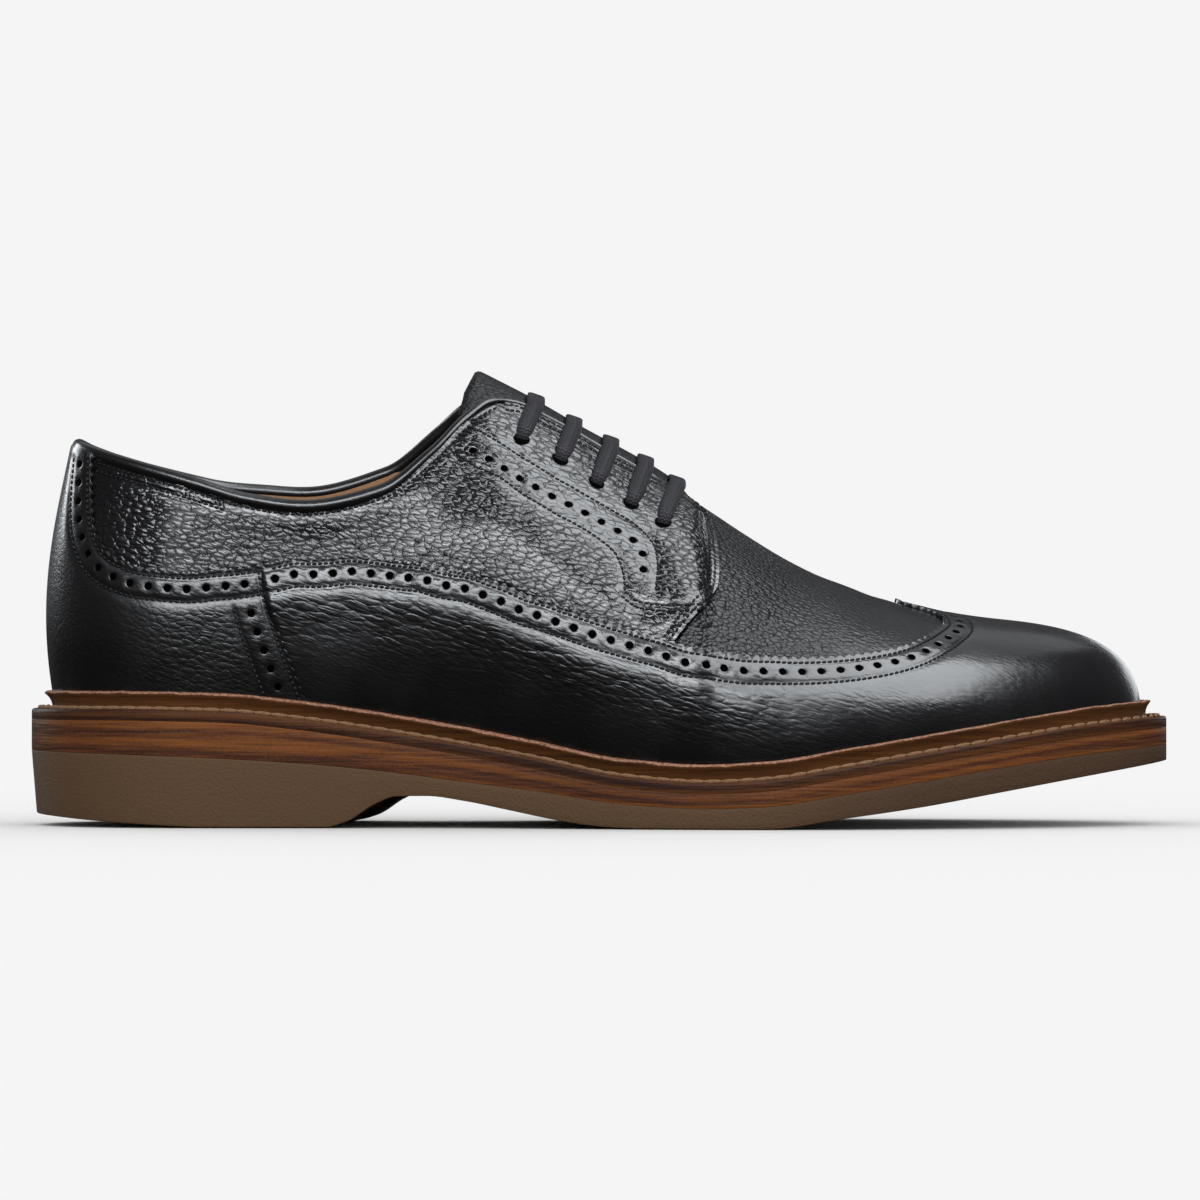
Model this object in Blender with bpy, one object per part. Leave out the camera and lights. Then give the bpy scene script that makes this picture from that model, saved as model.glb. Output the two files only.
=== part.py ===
"""Right long-wing derby shoe: a lasted leather upper on a stitched welt, midsole and rubber sole.

Driving sizes are in millimetres and are turned into metres when a mesh is made.
X runs from heel to toe and Z is up from the floor.
+Y is the inner (medial) side and -Y the outer (lateral) side.
"""

import bmesh
import bpy
import numpy as np
from collections import namedtuple
from mathutils import Vector
from mathutils.geometry import delaunay_2d_cdt

for old in list(bpy.data.objects):
    bpy.data.objects.remove(old)

# Driving sizes
SOLE_LENGTH = 308.0
MM = 0.001
GAP = 0.3
WELT_MARGIN = 8.3
WALL = 2.0
WING_LIFT = 0.5
QUARTER_LIFT = 0.65
QUARTER_THICK = 0.8
WING_THICK = 1.2
WELT_THICK = 3.0
WELT_RIM_RISE = 4.8
WELT_RIM_FLARE = 2.0
WELT_RIM_FACE = 0.5
WELT_FLANGE = 13.0
WELT_WAIST_FACE = 0.65
WELT_TIP_SHARE = 0.92
WELT_WAIST_SHARE = 0.5
INSOLE_THICK = 3.0
INSOLE_EASE = 0.4
TONGUE_THICK = 2.4
LACE_WIDTH = 5.2
LACE_THICK = 1.3
LACE_CLEARANCE = 0.6
HEEL_TIP = -SOLE_LENGTH / 2
TOE_TIP = SOLE_LENGTH / 2

# Sole pattern: tack points around the sole with the edge's heading and the pull of its curve on both sides
Tack = namedtuple("Tack", "x y heading pull_in pull_out")
HEEL_BACK = Tack(HEEL_TIP, 0.0, -90.0, 23.0, 23.0)
TOE_FRONT = Tack(TOE_TIP, 5.0, 90.0, 27.0, 31.0)
LATERAL_EDGE = (
    HEEL_BACK,
    Tack(-108.0, -38.2, 0.0, 27.0, 24.0),
    Tack(-42.0, -40.0, -5.0, 22.0, 34.0),
    Tack(50.0, -55.0, 1.0, 34.0, 56.0),
    TOE_FRONT,
)
MEDIAL_EDGE = (
    HEEL_BACK._replace(heading=90.0),
    Tack(-108.0, 37.6, -2.0, 27.0, 24.0),
    Tack(-40.0, 34.5, 1.0, 22.0, 36.0),
    Tack(66.0, 52.5, 0.0, 36.0, 50.0),
    TOE_FRONT._replace(heading=-90.0),
)

# Heights of the sole along its length
Level = namedtuple("Level", "x floor outsole ledge")
SOLE_LEVELS = (
    Level(-154.0, 3.0, 20.0, 31.3),
    Level(-130.0, 1.2, 19.3, 31.3),
    Level(-102.0, 0.0, 18.2, 30.8),
    Level(-80.0, 0.0, 16.9, 28.8),
    Level(-58.0, 0.0, 14.9, 25.7),
    Level(-37.0, 0.0, 12.2, 22.2),
    Level(-16.0, 0.0, 9.6, 18.2),
    Level(6.0, 0.0, 6.4, 13.7),
    Level(28.0, 0.0, 5.2, 12.1),
    Level(44.0, 0.0, 5.8, 12.9),
    Level(64.0, 2.6, 8.9, 16.1),
    Level(85.0, 5.6, 12.3, 19.7),
    Level(106.0, 9.3, 15.8, 23.2),
    Level(130.0, 13.4, 19.2, 26.9),
    Level(154.0, 17.2, 21.5, 29.2),
)
# Underside of the arch, from the heel breast to the tread
Arch = namedtuple("Arch", "x rise")
ARCH = (
    Arch(-72.0, 0.0),
    Arch(-67.0, 1.6),
    Arch(-60.0, 6.0),
    Arch(-54.0, 8.2),
    Arch(-46.0, 8.3),
    Arch(-36.0, 7.0),
    Arch(-24.0, 4.6),
    Arch(-10.0, 1.8),
    Arch(2.0, 0.3),
    Arch(9.0, 0.0),
)
BREAST_SLANT = 6.5
BREAST_END = -46.0
SOLE_HALF = 38.0
HEEL_RAKE = 1.4

# Top edge of the upper: collar from the heel back, facing along the throat, then the ridge of the vamp
Top = namedtuple("Top", "station x half ridge_y z medial_rise")
TOP_EDGE = (
    Top(0.00, -141.3, 0.0, 0.0, 103.9, 0.0),
    Top(0.25, -139.8, 10.5, 0.0, 103.0, 0.0),
    Top(0.50, -132.5, 19.0, 0.0, 100.2, 0.1),
    Top(1.00, -108.0, 27.0, 0.0, 92.8, 1.1),
    Top(1.25, -94.0, 28.8, 0.2, 88.6, 3.6),
    Top(1.50, -79.0, 29.5, 0.5, 86.7, 4.9),
    Top(1.80, -59.0, 28.5, 1.0, 90.8, 6.2),
    Top(2.00, -45.0, 24.5, 1.5, 101.4, 6.4),
    Top(2.12, -35.5, 18.8, 2.0, 110.8, 4.5),
    Top(2.19, -29.5, 15.0, 2.0, 113.9, 2.0),
    Top(2.26, -24.0, 12.6, 2.0, 113.4, 0.5),
    Top(2.36, -14.0, 11.6, 2.0, 108.8, 0.0),
    Top(2.52, 2.0, 11.0, 2.2, 99.8, 0.0),
    Top(2.70, 19.0, 10.0, 2.5, 90.4, 0.0),
    Top(2.75, 24.5, 7.6, 2.7, 87.9, 0.0),
    Top(2.79, 29.0, 0.0, 3.0, 85.2, 0.0),
    Top(2.88, 39.0, 0.0, 3.3, 78.6, 0.0),
    Top(3.00, 53.0, 0.0, 4.0, 70.2, 0.0),
    Top(3.20, 74.0, 0.0, 4.5, 61.8, 0.0),
    Top(3.50, 92.0, 0.0, 5.0, 56.6, 0.0),
    Top(3.75, 103.0, 0.0, 5.0, 54.8, 0.0),
    Top(4.00, 110.0, 0.0, 5.0, 54.0, 0.0),
)
# Shape of each rib between the feather line and the top edge
Rib = namedtuple("Rib", "station lean rise slope reach")
RIBS = (
    Rib(0.0, 11.0, 0.44, 80.0, 0.34),
    Rib(0.5, 11.0, 0.44, 82.0, 0.34),
    Rib(1.0, 12.0, 0.44, 84.0, 0.34),
    Rib(1.5, 16.0, 0.42, 84.0, 0.34),
    Rib(2.0, 18.0, 0.42, 66.0, 0.32),
    Rib(2.3, 17.0, 0.46, 36.0, 0.30),
    Rib(2.6, 16.0, 0.48, 30.0, 0.31),
    Rib(2.8, 16.0, 0.50, 6.0, 0.46),
    Rib(3.0, 15.0, 0.53, 2.0, 0.49),
    Rib(3.5, 9.0, 0.60, 0.0, 0.55),
    Rib(4.0, 3.0, 0.74, -1.0, 0.56),
)
# Ribs that are drawn, as (first station, last station, steps)
RIB_SPANS = (
    (0, 1, 8),
    (1, 2, 5),
    (2, 2.26, 3),
    (2.26, 2.7, 6),
    (2.7, 2.79, 3),
    (2.79, 3, 4),
    (3, 4, 9),
)
ROWS = 11
# Stations of the sole that are drawn, as (first station, last station, steps)
SOLE_SPANS = ((0, 1, 10), (1, 2, 18), (2, 4, 24))

# Tongue: height of its crown, line of its middle, half width, bend across it and swell between the facings
Tongue = namedtuple("Tongue", "x crown ridge_y half bend swell")
TONGUE = (
    Tongue(-33.5, 124.2, 2.0, 18.0, 9.5, 2.0),
    Tongue(-27.0, 119.0, 2.0, 19.0, 11.0, 2.8),
    Tongue(-15.0, 112.8, 2.0, 19.0, 12.5, 3.6),
    Tongue(5.0, 102.0, 2.2, 20.0, 15.0, 3.6),
    Tongue(16.0, 95.4, 2.4, 19.0, 16.0, 3.6),
    Tongue(22.0, 89.0, 2.6, 16.0, 15.0, 2.4),
    Tongue(29.0, 79.2, 3.0, 15.0, 16.0, 0.0),
    Tongue(38.0, 73.2, 3.3, 14.0, 18.0, 0.0),
)
TONGUE_STEPS = 16
TONGUE_COLUMNS = 11
SWELL_HALF = 10.0

# Lace bars: where each one crosses the crown of the tongue, and its shares of the way to either facing
LACE_CROWNS = (-17.5, -8.0, 2.0, 11.0, 18.8)
LACE_ARCH = np.array([-0.75, -0.5, -0.3, -0.15, 0.0, 0.15, 0.3, 0.5, 0.75])
LACE_END_ROW = 0.83
LACE_END_STEPS = 5
THROAT_STATIONS = (2.1, 2.85)
THROAT_SAMPLES = 151

# Seams seen from the side (x, height above the floor), or on the toe from above (x, distance off the ridge)
WING_SIDE_SEAM = (
    (-89.8, 69.4),
    (-69.0, 71.7),
    (-47.5, 70.0),
    (-26.0, 64.4),
    (-5.0, 56.6),
    (16.0, 50.3),
    (26.0, 46.7),
    (37.0, 45.0),
    (58.0, 44.4),
    (69.0, 45.2),
    (80.0, 47.1),
)
WING_TOE_SEAM = ((85.4, 32.0), (90.4, 25.0), (92.6, 18.5), (91.7, 11.7), (86.6, 4.6), (80.0, 0.0))
COUNTER_TOP_SEAM = (
    (-135.2, 96.5),
    (-135.3, 87.0),
    (-134.8, 81.5),
    (-133.5, 76.6),
    (-131.3, 72.8),
    (-127.5, 70.3),
    (-122.0, 68.4),
    (-111.7, 67.3),
    (-101.0, 68.0),
    (-89.8, 69.4),
)
COUNTER_FRONT_SEAM = ((-89.8, 69.4), (-88.0, 60.0), (-84.5, 49.7), (-80.8, 40.2), (-77.5, 31.0))
FLAP_SEAM = (
    (23.7, 87.1),
    (27.1, 84.3),
    (29.9, 79.6),
    (31.2, 74.0),
    (31.7, 68.0),
    (31.4, 63.5),
    (30.0, 61.0),
    (27.4, 58.0),
    (23.7, 53.7),
    (19.3, 49.5),
)

# Laying out of the panels on the pattern of the last: millimetres that one station and one row stand for
PATTERN_SCALE = np.array([80.0, 70.0])
PATTERN_SAMPLES = (401, 101)
PATTERN_CLEARANCE = 1.8
SEAM_GAP = 0.6
PEAK_CLEARANCE = 0.02
FOOT_ROW = 0.012
STRAP_ROW = 0.965
COLLAR_ROW = 0.965
FACING_ROW = 0.98
FACING_STATION = 2.22
WING_SEAM_STEPS = 60
COUNTER_FRONT_STEPS = 9
COUNTER_TOP_STEPS = 22
FLAP_STEPS = 18
STRAP_STEPS = 7
COLLAR_STEPS = 18
FACING_STEPS = 14
RIM_SEARCH_ROWS = np.linspace(0, 0.35, 36)


def track(xs, ys, where):
    """Values at where on a smooth curve through (xs, ys) that never overshoots a row."""
    xs, ys, where = (np.asarray(v, float) for v in (xs, ys, where))
    step = np.diff(xs)
    rate = np.diff(ys) / step
    slope = np.zeros(len(xs))
    same = rate[:-1] * rate[1:] > 0
    left, right = 2 * step[1:] + step[:-1], step[1:] + 2 * step[:-1]
    mean = np.divide(left, rate[:-1], out=np.zeros_like(left), where=same)
    mean += np.divide(right, rate[1:], out=np.zeros_like(left), where=same)
    slope[1:-1] = np.divide(left + right, mean, out=np.zeros_like(left), where=same)
    slope[0], slope[-1] = rate[0], rate[-1]
    i = np.clip(np.searchsorted(xs, where) - 1, 0, len(step) - 1)
    u = np.clip((where - xs[i]) / step[i], 0, 1)
    return (
        ys[i] * (1 + 2 * u) * (1 - u) ** 2
        + slope[i] * step[i] * u * (1 - u) ** 2
        + ys[i + 1] * u * u * (3 - 2 * u)
        - slope[i + 1] * step[i] * u * u * (1 - u)
    )


def column(rows, name):
    return np.array([getattr(row, name) for row in rows])


def read(rows, name, key, where):
    return track(column(rows, key), column(rows, name), where)


def unit(v):
    return v / np.linalg.norm(v, axis=-1, keepdims=True)


def bezier(a, b, c, d, u):
    return a * (1 - u) ** 3 + 3 * b * u * (1 - u) ** 2 + 3 * c * u * u * (1 - u) + d * u**3


def sole_edge(tacks, stations):
    """Plan points and outward normals of one side of the sole, at stations from 0 (heel back) to 4 (toe)."""
    stations = np.asarray(stations, float)
    span = np.clip(stations.astype(int), 0, len(tacks) - 2)
    u = (stations - span)[:, None]
    place = np.stack([column(tacks, "x"), column(tacks, "y")], 1)
    angle = np.radians(column(tacks, "heading"))
    aim = np.stack([np.cos(angle), np.sin(angle)], 1)
    start, end = place[span], place[span + 1]
    leave = start + aim[span] * column(tacks, "pull_out")[span, None]
    arrive = end - aim[span + 1] * column(tacks, "pull_in")[span + 1, None]
    point = bezier(start, leave, arrive, end, u)
    along = 3 * ((leave - start) * (1 - u) ** 2 + 2 * (arrive - leave) * u * (1 - u) + (end - arrive) * u * u)
    side = np.sign(tacks[1].y)
    normal = unit(np.stack([-along[:, 1], along[:, 0]], 1)) * side
    return point, normal


def drawn(spans):
    """Stations of a list of spans, with the last one's end."""
    steps = [np.linspace(first, last, count, endpoint=False) for first, last, count in spans]
    return np.concatenate(steps + [[spans[-1][1]]])


SOLE_STATIONS = drawn(SOLE_SPANS)
RIB_STATIONS = drawn(RIB_SPANS)
SOLE_SIDES = [sole_edge(tacks, SOLE_STATIONS) for tacks in (LATERAL_EDGE, MEDIAL_EDGE)]
SOLE_MIDDLE = (SOLE_SIDES[0][0][:, 1].min() + SOLE_SIDES[1][0][:, 1].max()) / 2


class Side:
    """One side of the last: ribs that rise from the feather line to the top edge."""

    def __init__(self, tacks):
        self.tacks = tacks
        self.sign = np.sign(tacks[1].y)

    def controls(self, stations):
        edge, normal = sole_edge(self.tacks, stations)
        plan = edge - normal * WELT_MARGIN
        foot = np.column_stack([plan, read(SOLE_LEVELS, "ledge", "x", plan[:, 0]) + GAP])
        top_z = read(TOP_EDGE, "z", "station", stations)
        if self.sign > 0:
            top_z = top_z + read(TOP_EDGE, "medial_rise", "station", stations)
        top_x = read(TOP_EDGE, "x", "station", stations)
        ridge_y = read(TOP_EDGE, "ridge_y", "station", stations)
        half = read(TOP_EDGE, "half", "station", stations)
        top = np.column_stack([top_x, ridge_y + self.sign * half, top_z])
        lean = np.radians(read(RIBS, "lean", "station", stations))[:, None]
        slope = np.radians(read(RIBS, "slope", "station", stations))[:, None]
        rise = read(RIBS, "rise", "station", stations)[:, None]
        reach = read(RIBS, "reach", "station", stations)[:, None]
        up = np.array([0.0, 0.0, 1.0])
        height = (top - foot)[:, 2:]
        outward = np.column_stack([normal, np.zeros(len(plan))])
        low = foot + rise * height * (np.cos(lean) * up + np.sin(lean) * outward)
        spread = foot - top
        spread[:, 2] = 0.0
        breadth = np.linalg.norm(spread, axis=1, keepdims=True)
        spread = unit(spread)
        ridge_fall = np.gradient(column(TOP_EDGE, "z"), column(TOP_EDGE, "x"))
        spread[:, 2] = spread[:, 0] * track(column(TOP_EDGE, "x"), ridge_fall, top_x)
        size = np.cos(slope) * breadth + np.sin(slope) * height
        high = top + reach * size * (np.cos(slope) * spread - np.sin(slope) * up)
        return foot, low, high, top

    def surface(self, stations, rows):
        """Points of the last's skin at stations and rows, with rows from 0 (feather line) to 1 (top edge)."""
        shape = np.shape(stations)
        flat, rows = np.ravel(stations), np.ravel(rows)[:, None]
        return bezier(*self.controls(flat), rows).reshape(*shape, 3)

    def lifted(self, stations, rows, lift):
        """The skin moved outwards by lift along its own normal."""
        nudge = 1e-3
        stations, rows = np.asarray(stations, float), np.asarray(rows, float)
        before, after = np.clip(stations - nudge, 0, 4), np.clip(stations + nudge, 0, 4)
        below, above = np.clip(rows - nudge, 0, 1), np.clip(rows + nudge, 0, 1)
        along = self.surface(after, rows) - self.surface(before, rows)
        across = self.surface(stations, above) - self.surface(stations, below)
        ridge = (rows >= 1) & (stations > 1) & (read(TOP_EDGE, "half", "station", stations) <= 0)
        ridge_normal = along[ridge][:, [2, 1, 0]] * np.array([-1.0, 0.0, 1.0])
        level = (stations <= 0) | (stations >= 4)
        along[level] = 0.0
        along[level, 1] = np.where(stations[level] <= 0, self.sign, -self.sign)
        normal = np.cross(across, along) * self.sign
        normal[level, 1] = 0.0
        normal[ridge] = ridge_normal
        return self.surface(stations, rows) + unit(normal) * np.asarray(lift)[..., None]


LATERAL, MEDIAL = Side(LATERAL_EDGE), Side(MEDIAL_EDGE)


def skin(loop, rows, lift):
    """Skin points on the loop: 0 to 4 is lateral, 4 to 8 medial back to the heel, below 0 medial."""
    loop = np.asarray(loop, float)
    medial = (loop > 4) | (loop < 0)
    station = np.where(loop > 4, 8 - loop, np.abs(loop))
    lift = np.broadcast_to(np.asarray(lift, float), loop.shape)
    near, far = LATERAL.lifted(station, rows, lift), MEDIAL.lifted(station, rows, lift)
    return np.where(medial[..., None], far, near)


def material(name, colour, roughness):
    made = bpy.data.materials.new(name)
    made.use_nodes = True
    shader = made.node_tree.nodes["Principled BSDF"]
    shader.inputs["Base Color"].default_value = (*colour, 1.0)
    shader.inputs["Roughness"].default_value = roughness
    shader.inputs["Metallic"].default_value = 0.0
    made.diffuse_color = (*colour, 1.0)
    return made


BLACK_LEATHER = material("black_leather", (0.012, 0.012, 0.014), 0.45)
TAN_LINING = material("tan_lining", (0.45, 0.26, 0.12), 0.6)
BROWN_WELT = material("brown_welt", (0.13, 0.05, 0.02), 0.5)
BROWN_MIDSOLE = material("brown_midsole", (0.17, 0.065, 0.025), 0.45)
TAUPE_RUBBER = material("taupe_rubber", (0.12, 0.075, 0.045), 0.7)
BLACK_COTTON = material("black_cotton", (0.02, 0.02, 0.024), 0.7)


def solid(name, points, faces, finish, sharp=40.0):
    """One closed body from points in millimetres, with its faces turned outwards."""
    mesh = bpy.data.meshes.new(name)
    centred = np.asarray(points, float) - np.array([0.0, SOLE_MIDDLE, 0.0])
    mesh.from_pydata([Vector(p) * MM for p in centred], [], [tuple(f) for f in faces])
    work = bmesh.new()
    work.from_mesh(mesh)
    bmesh.ops.remove_doubles(work, verts=work.verts, dist=1e-7)
    bmesh.ops.recalc_face_normals(work, faces=work.faces)
    work.to_mesh(mesh)
    work.free()
    mesh.shade_smooth()
    mesh.set_sharp_from_angle(angle=np.radians(sharp))
    mesh.materials.append(finish)
    made = bpy.data.objects.new(name, mesh)
    bpy.context.scene.collection.objects.link(made)
    return made


def grid_faces(columns, rows, closed):
    """Quads of a grid stored column by column."""
    faces = []
    for c in range(columns if closed else columns - 1):
        n = (c + 1) % columns
        for r in range(rows - 1):
            faces.append((c * rows + r, n * rows + r, n * rows + r + 1, c * rows + r + 1))
    return faces


def loop_stations():
    """Loop coordinates once round the shoe, heel back to toe and home along the medial side."""
    return np.concatenate([RIB_STATIONS, 8 - RIB_STATIONS[-2:0:-1]])


def make_upper():
    """Hollow wall of vamp and quarters: outer skin, inner skin, and the rims at the top and underneath."""
    loop = loop_stations()
    rows = np.linspace(0, 1, ROWS + 1)
    at, height = np.meshgrid(loop, rows, indexing="ij")
    outer = skin(at, height, 0.0).reshape(-1, 3)
    inner = skin(at, height, -WALL).reshape(-1, 3)
    count, tall = len(loop), len(rows)
    shift = count * tall
    faces = grid_faces(count, tall, True)
    faces += [tuple(i + shift for i in reversed(f)) for f in faces]
    open_top = read(TOP_EDGE, "half", "station", np.where(loop > 4, 8 - loop, loop)) > 0
    open_top |= loop == 0
    for c in range(count):
        n = (c + 1) % count
        faces.append((c * tall, n * tall, n * tall + shift, c * tall + shift))
        if open_top[c] or open_top[n]:
            a, b = c * tall + tall - 1, n * tall + tall - 1
            faces.append((b, a, a + shift, b + shift))
    return solid("upper", np.concatenate([outer, inner]), faces, BLACK_LEATHER)


class Pattern:
    """Finds the loop coordinate and row of a place on the last that is read from the side or from above."""

    def __init__(self, side):
        self.medial = side.sign > 0
        count, tall = PATTERN_SAMPLES
        stations, rows = np.linspace(0, 4, count), np.linspace(0, 1, tall)
        self.stations, self.rows = np.meshgrid(stations, rows, indexing="ij")
        self.points = side.surface(self.stations, self.rows)
        self.off_ridge = np.abs(self.points[..., 1] - read(TOP_EDGE, "ridge_y", "station", self.stations))

    def nearest(self, misfit):
        i = np.unravel_index(np.argmin(misfit), misfit.shape)
        station = self.stations[i]
        return np.array([8 - station if self.medial else station, self.rows[i]])

    def from_side(self, x, z):
        return self.nearest((self.points[..., 0] - x) ** 2 + (self.points[..., 2] - z) ** 2)

    def from_above(self, x, off):
        lower_half = np.where(self.rows < 0.5, 1e6, 0.0)
        return self.nearest((self.points[..., 0] - x) ** 2 + (self.off_ridge - off) ** 2 + lower_half)

    def side_line(self, places, count, shift=(0.0, 0.0)):
        return smooth_line([self.from_side(x + shift[0], z + shift[1]) for x, z in places], count)

    def top_line(self, first, last, row, count):
        """A line just under the top edge between two stations."""
        stations = np.linspace(first, last, count)
        return np.column_stack([8 - stations if self.medial else stations, np.full(count, row)])


def smooth_line(points, count):
    """A fair line of count points through a few places on the pattern."""
    points = np.asarray(points, float)
    reach = np.concatenate([[0], np.cumsum(np.linalg.norm(np.diff(points, axis=0) * PATTERN_SCALE, axis=1))])
    where = np.linspace(0, reach[-1], count)
    return np.column_stack([track(reach, points[:, k], where) for k in range(2)])


def lay_panel(name, outline, lift, thick):
    """A piece of leather cut to an outline on the pattern and laid over the last."""
    outline = np.asarray(outline)
    outline = outline[np.linalg.norm((outline - np.roll(outline, 1, axis=0)) * PATTERN_SCALE, axis=1) > GAP]
    columns = np.concatenate([-RIB_STATIONS[:0:-1], loop_stations()])
    at, height = np.meshgrid(columns, np.linspace(0, 1, ROWS + 1)[1:-1], indexing="ij")
    inside = np.column_stack([at.ravel(), height.ravel()])
    clear = np.min(np.linalg.norm((inside[:, None] - outline[None]) * PATTERN_SCALE, axis=2), axis=1)
    inside = inside[clear > PATTERN_CLEARANCE]
    count = len(outline)
    edges = [(i, (i + 1) % count) for i in range(count)]
    flat = [Vector(p * PATTERN_SCALE) for p in np.concatenate([outline, inside])]
    places, _, faces, *_ = delaunay_2d_cdt(flat, edges, [], 1, 1e-5)
    places = np.array([tuple(p) for p in places]) / PATTERN_SCALE
    faces = [tuple(f) for f in faces]
    rims = {}
    for face in faces:
        for a, b in zip(face, face[1:] + face[:1]):
            if rims.pop((b, a), None) is None:
                rims[(a, b)] = True
    on_ridge = places[:, 1] > 1 - 1e-6
    loop, row = places[:, 0], np.clip(places[:, 1], 0, 1)
    low = skin(loop, row, lift)
    high = skin(loop, row, lift + thick)
    shift = len(places)
    body = faces + [tuple(i + shift for i in reversed(f)) for f in faces]
    body += [(b, a, a + shift, b + shift) for a, b in rims if not (on_ridge[a] and on_ridge[b])]
    return solid(name, np.concatenate([high, low]), body, BLACK_LEATHER)


def wing_seam(pattern):
    """Upper edge of the wing, from the counter to the peak on the ridge of the toe."""
    places = [pattern.from_side(x, z) for x, z in WING_SIDE_SEAM]
    places += [pattern.from_above(x, off) for x, off in WING_TOE_SEAM]
    places[-1][1] = 1.0
    return smooth_line(places, WING_SEAM_STEPS)


def make_wing(lateral, medial):
    """Long wing: over the toe with a peak on the ridge, and back along both sides to the heel counter."""
    sides = []
    for pattern in (lateral, medial):
        rear = pattern.side_line(COUNTER_FRONT_SEAM, COUNTER_FRONT_STEPS, (SEAM_GAP, 0.0))
        rear[-1][1] = FOOT_ROW
        seam = wing_seam(pattern)
        seam[0] = rear[0]
        sides.append((seam, rear))
    (seam, rear), (far_seam, far_rear) = sides
    ridge = RIB_STATIONS[RIB_STATIONS > seam[-1][0] + PEAK_CLEARANCE]
    ridge = np.concatenate([ridge, 8 - ridge[-2::-1]])
    foot = loop_stations()
    foot = foot[(foot > rear[-1][0] + PEAK_CLEARANCE) & (foot < far_rear[-1][0] - PEAK_CLEARANCE)]
    outline = np.concatenate(
        [
            seam,
            np.column_stack([ridge, np.ones_like(ridge)]),
            far_seam[::-1],
            far_rear[1:],
            np.column_stack([foot[::-1], np.full_like(foot, FOOT_ROW)]),
            rear[:0:-1],
        ]
    )
    return lay_panel("wing", outline, WING_LIFT, WING_THICK)


def make_counter(lateral, medial):
    """Heel counter: around the heel, with a narrow back strap that runs up to the collar."""
    once_round = np.array([8.0, 0.0])
    front = lateral.side_line(COUNTER_FRONT_SEAM, COUNTER_FRONT_STEPS)
    front[-1][1] = FOOT_ROW
    top = lateral.side_line(COUNTER_TOP_SEAM, COUNTER_TOP_STEPS)
    far_front = medial.side_line(COUNTER_FRONT_SEAM, COUNTER_FRONT_STEPS) - once_round
    far_front[-1][1] = FOOT_ROW
    far_top = medial.side_line(COUNTER_TOP_SEAM, COUNTER_TOP_STEPS) - once_round
    strap = np.linspace(far_top[0][0], top[0][0], STRAP_STEPS)
    strap = np.column_stack([strap, np.full_like(strap, STRAP_ROW)])
    ribs = np.concatenate([-RIB_STATIONS[:0:-1], RIB_STATIONS])
    foot = ribs[(ribs > far_front[-1][0] + PEAK_CLEARANCE) & (ribs < front[-1][0] - PEAK_CLEARANCE)]
    outline = np.concatenate(
        [
            strap,
            top[1:],
            front[1:],
            np.column_stack([foot[::-1], np.full_like(foot, FOOT_ROW)]),
            far_front[::-1],
            far_top[-2:0:-1],
        ]
    )
    return lay_panel("counter", outline, WING_LIFT, WING_THICK)


def make_quarter(name, pattern):
    """Quarter: from the back strap along the collar and the facing to the rounded flap over the vamp."""
    aside = SEAM_GAP / PATTERN_SCALE
    forward = np.array([-1.0 if pattern.medial else 1.0, 1.0])
    rear = pattern.side_line(COUNTER_TOP_SEAM, COUNTER_TOP_STEPS) + aside * forward
    flap = pattern.side_line(FLAP_SEAM, FLAP_STEPS)
    lower = wing_seam(pattern) + aside * np.array([0.0, 1.0])
    meet = np.argmin(np.linalg.norm((lower - flap[-1]) * PATTERN_SCALE, axis=1))
    lower = lower[: meet - 1]
    first, last = (8 - line[0][0] if pattern.medial else line[0][0] for line in (rear, flap))
    collar = pattern.top_line(first, FACING_STATION, COLLAR_ROW, COLLAR_STEPS)
    facing = pattern.top_line(FACING_STATION, last, FACING_ROW, FACING_STEPS)
    outline = np.concatenate([collar, facing[1:], flap[1:-2], lower[::-1], rear[-2:0:-1]])
    return lay_panel(name, outline, QUARTER_LIFT, QUARTER_THICK)


def floor_height(plan):
    """Height of the tread: heel, slanted breast, arch, flat forefoot and toe spring."""
    across = (1 + plan[:, 1] / SOLE_HALF) / 2
    breast = plan[:, 0] - BREAST_SLANT * across * (plan[:, 0] < BREAST_END)
    return read(SOLE_LEVELS, "floor", "x", plan[:, 0]) + read(ARCH, "rise", "x", breast)


def make_plate(name, inset, low, high, finish, rake=0.0):
    """A plate in the plan of the sole, inset from its edge, between two heights that depend on the plan."""
    loops = [point - normal * inset for point, normal in SOLE_SIDES]
    count = len(SOLE_STATIONS)
    points, faces = [], []
    for height, lean in ((high, 0.0), (low, rake)):
        for loop in loops:
            shift = lean * np.clip(loop[:, 0] / HEEL_TIP, 0, 1) ** 4
            points.append(np.column_stack([loop[:, 0] + shift, loop[:, 1], height(loop)]))
    top_lat, top_med, low_lat, low_med = (k * count for k in range(4))
    for i in range(count - 1):
        faces.append((top_lat + i, top_lat + i + 1, top_med + i + 1, top_med + i))
        faces.append((low_lat + i, low_med + i, low_med + i + 1, low_lat + i + 1))
        faces.append((top_lat + i, low_lat + i, low_lat + i + 1, top_lat + i + 1))
        faces.append((top_med + i, top_med + i + 1, low_med + i + 1, low_med + i))
    return solid(name, np.concatenate(points), faces, finish)


def level(name, offset):
    return lambda plan: read(SOLE_LEVELS, name, "x", plan[:, 0]) + offset


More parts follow.
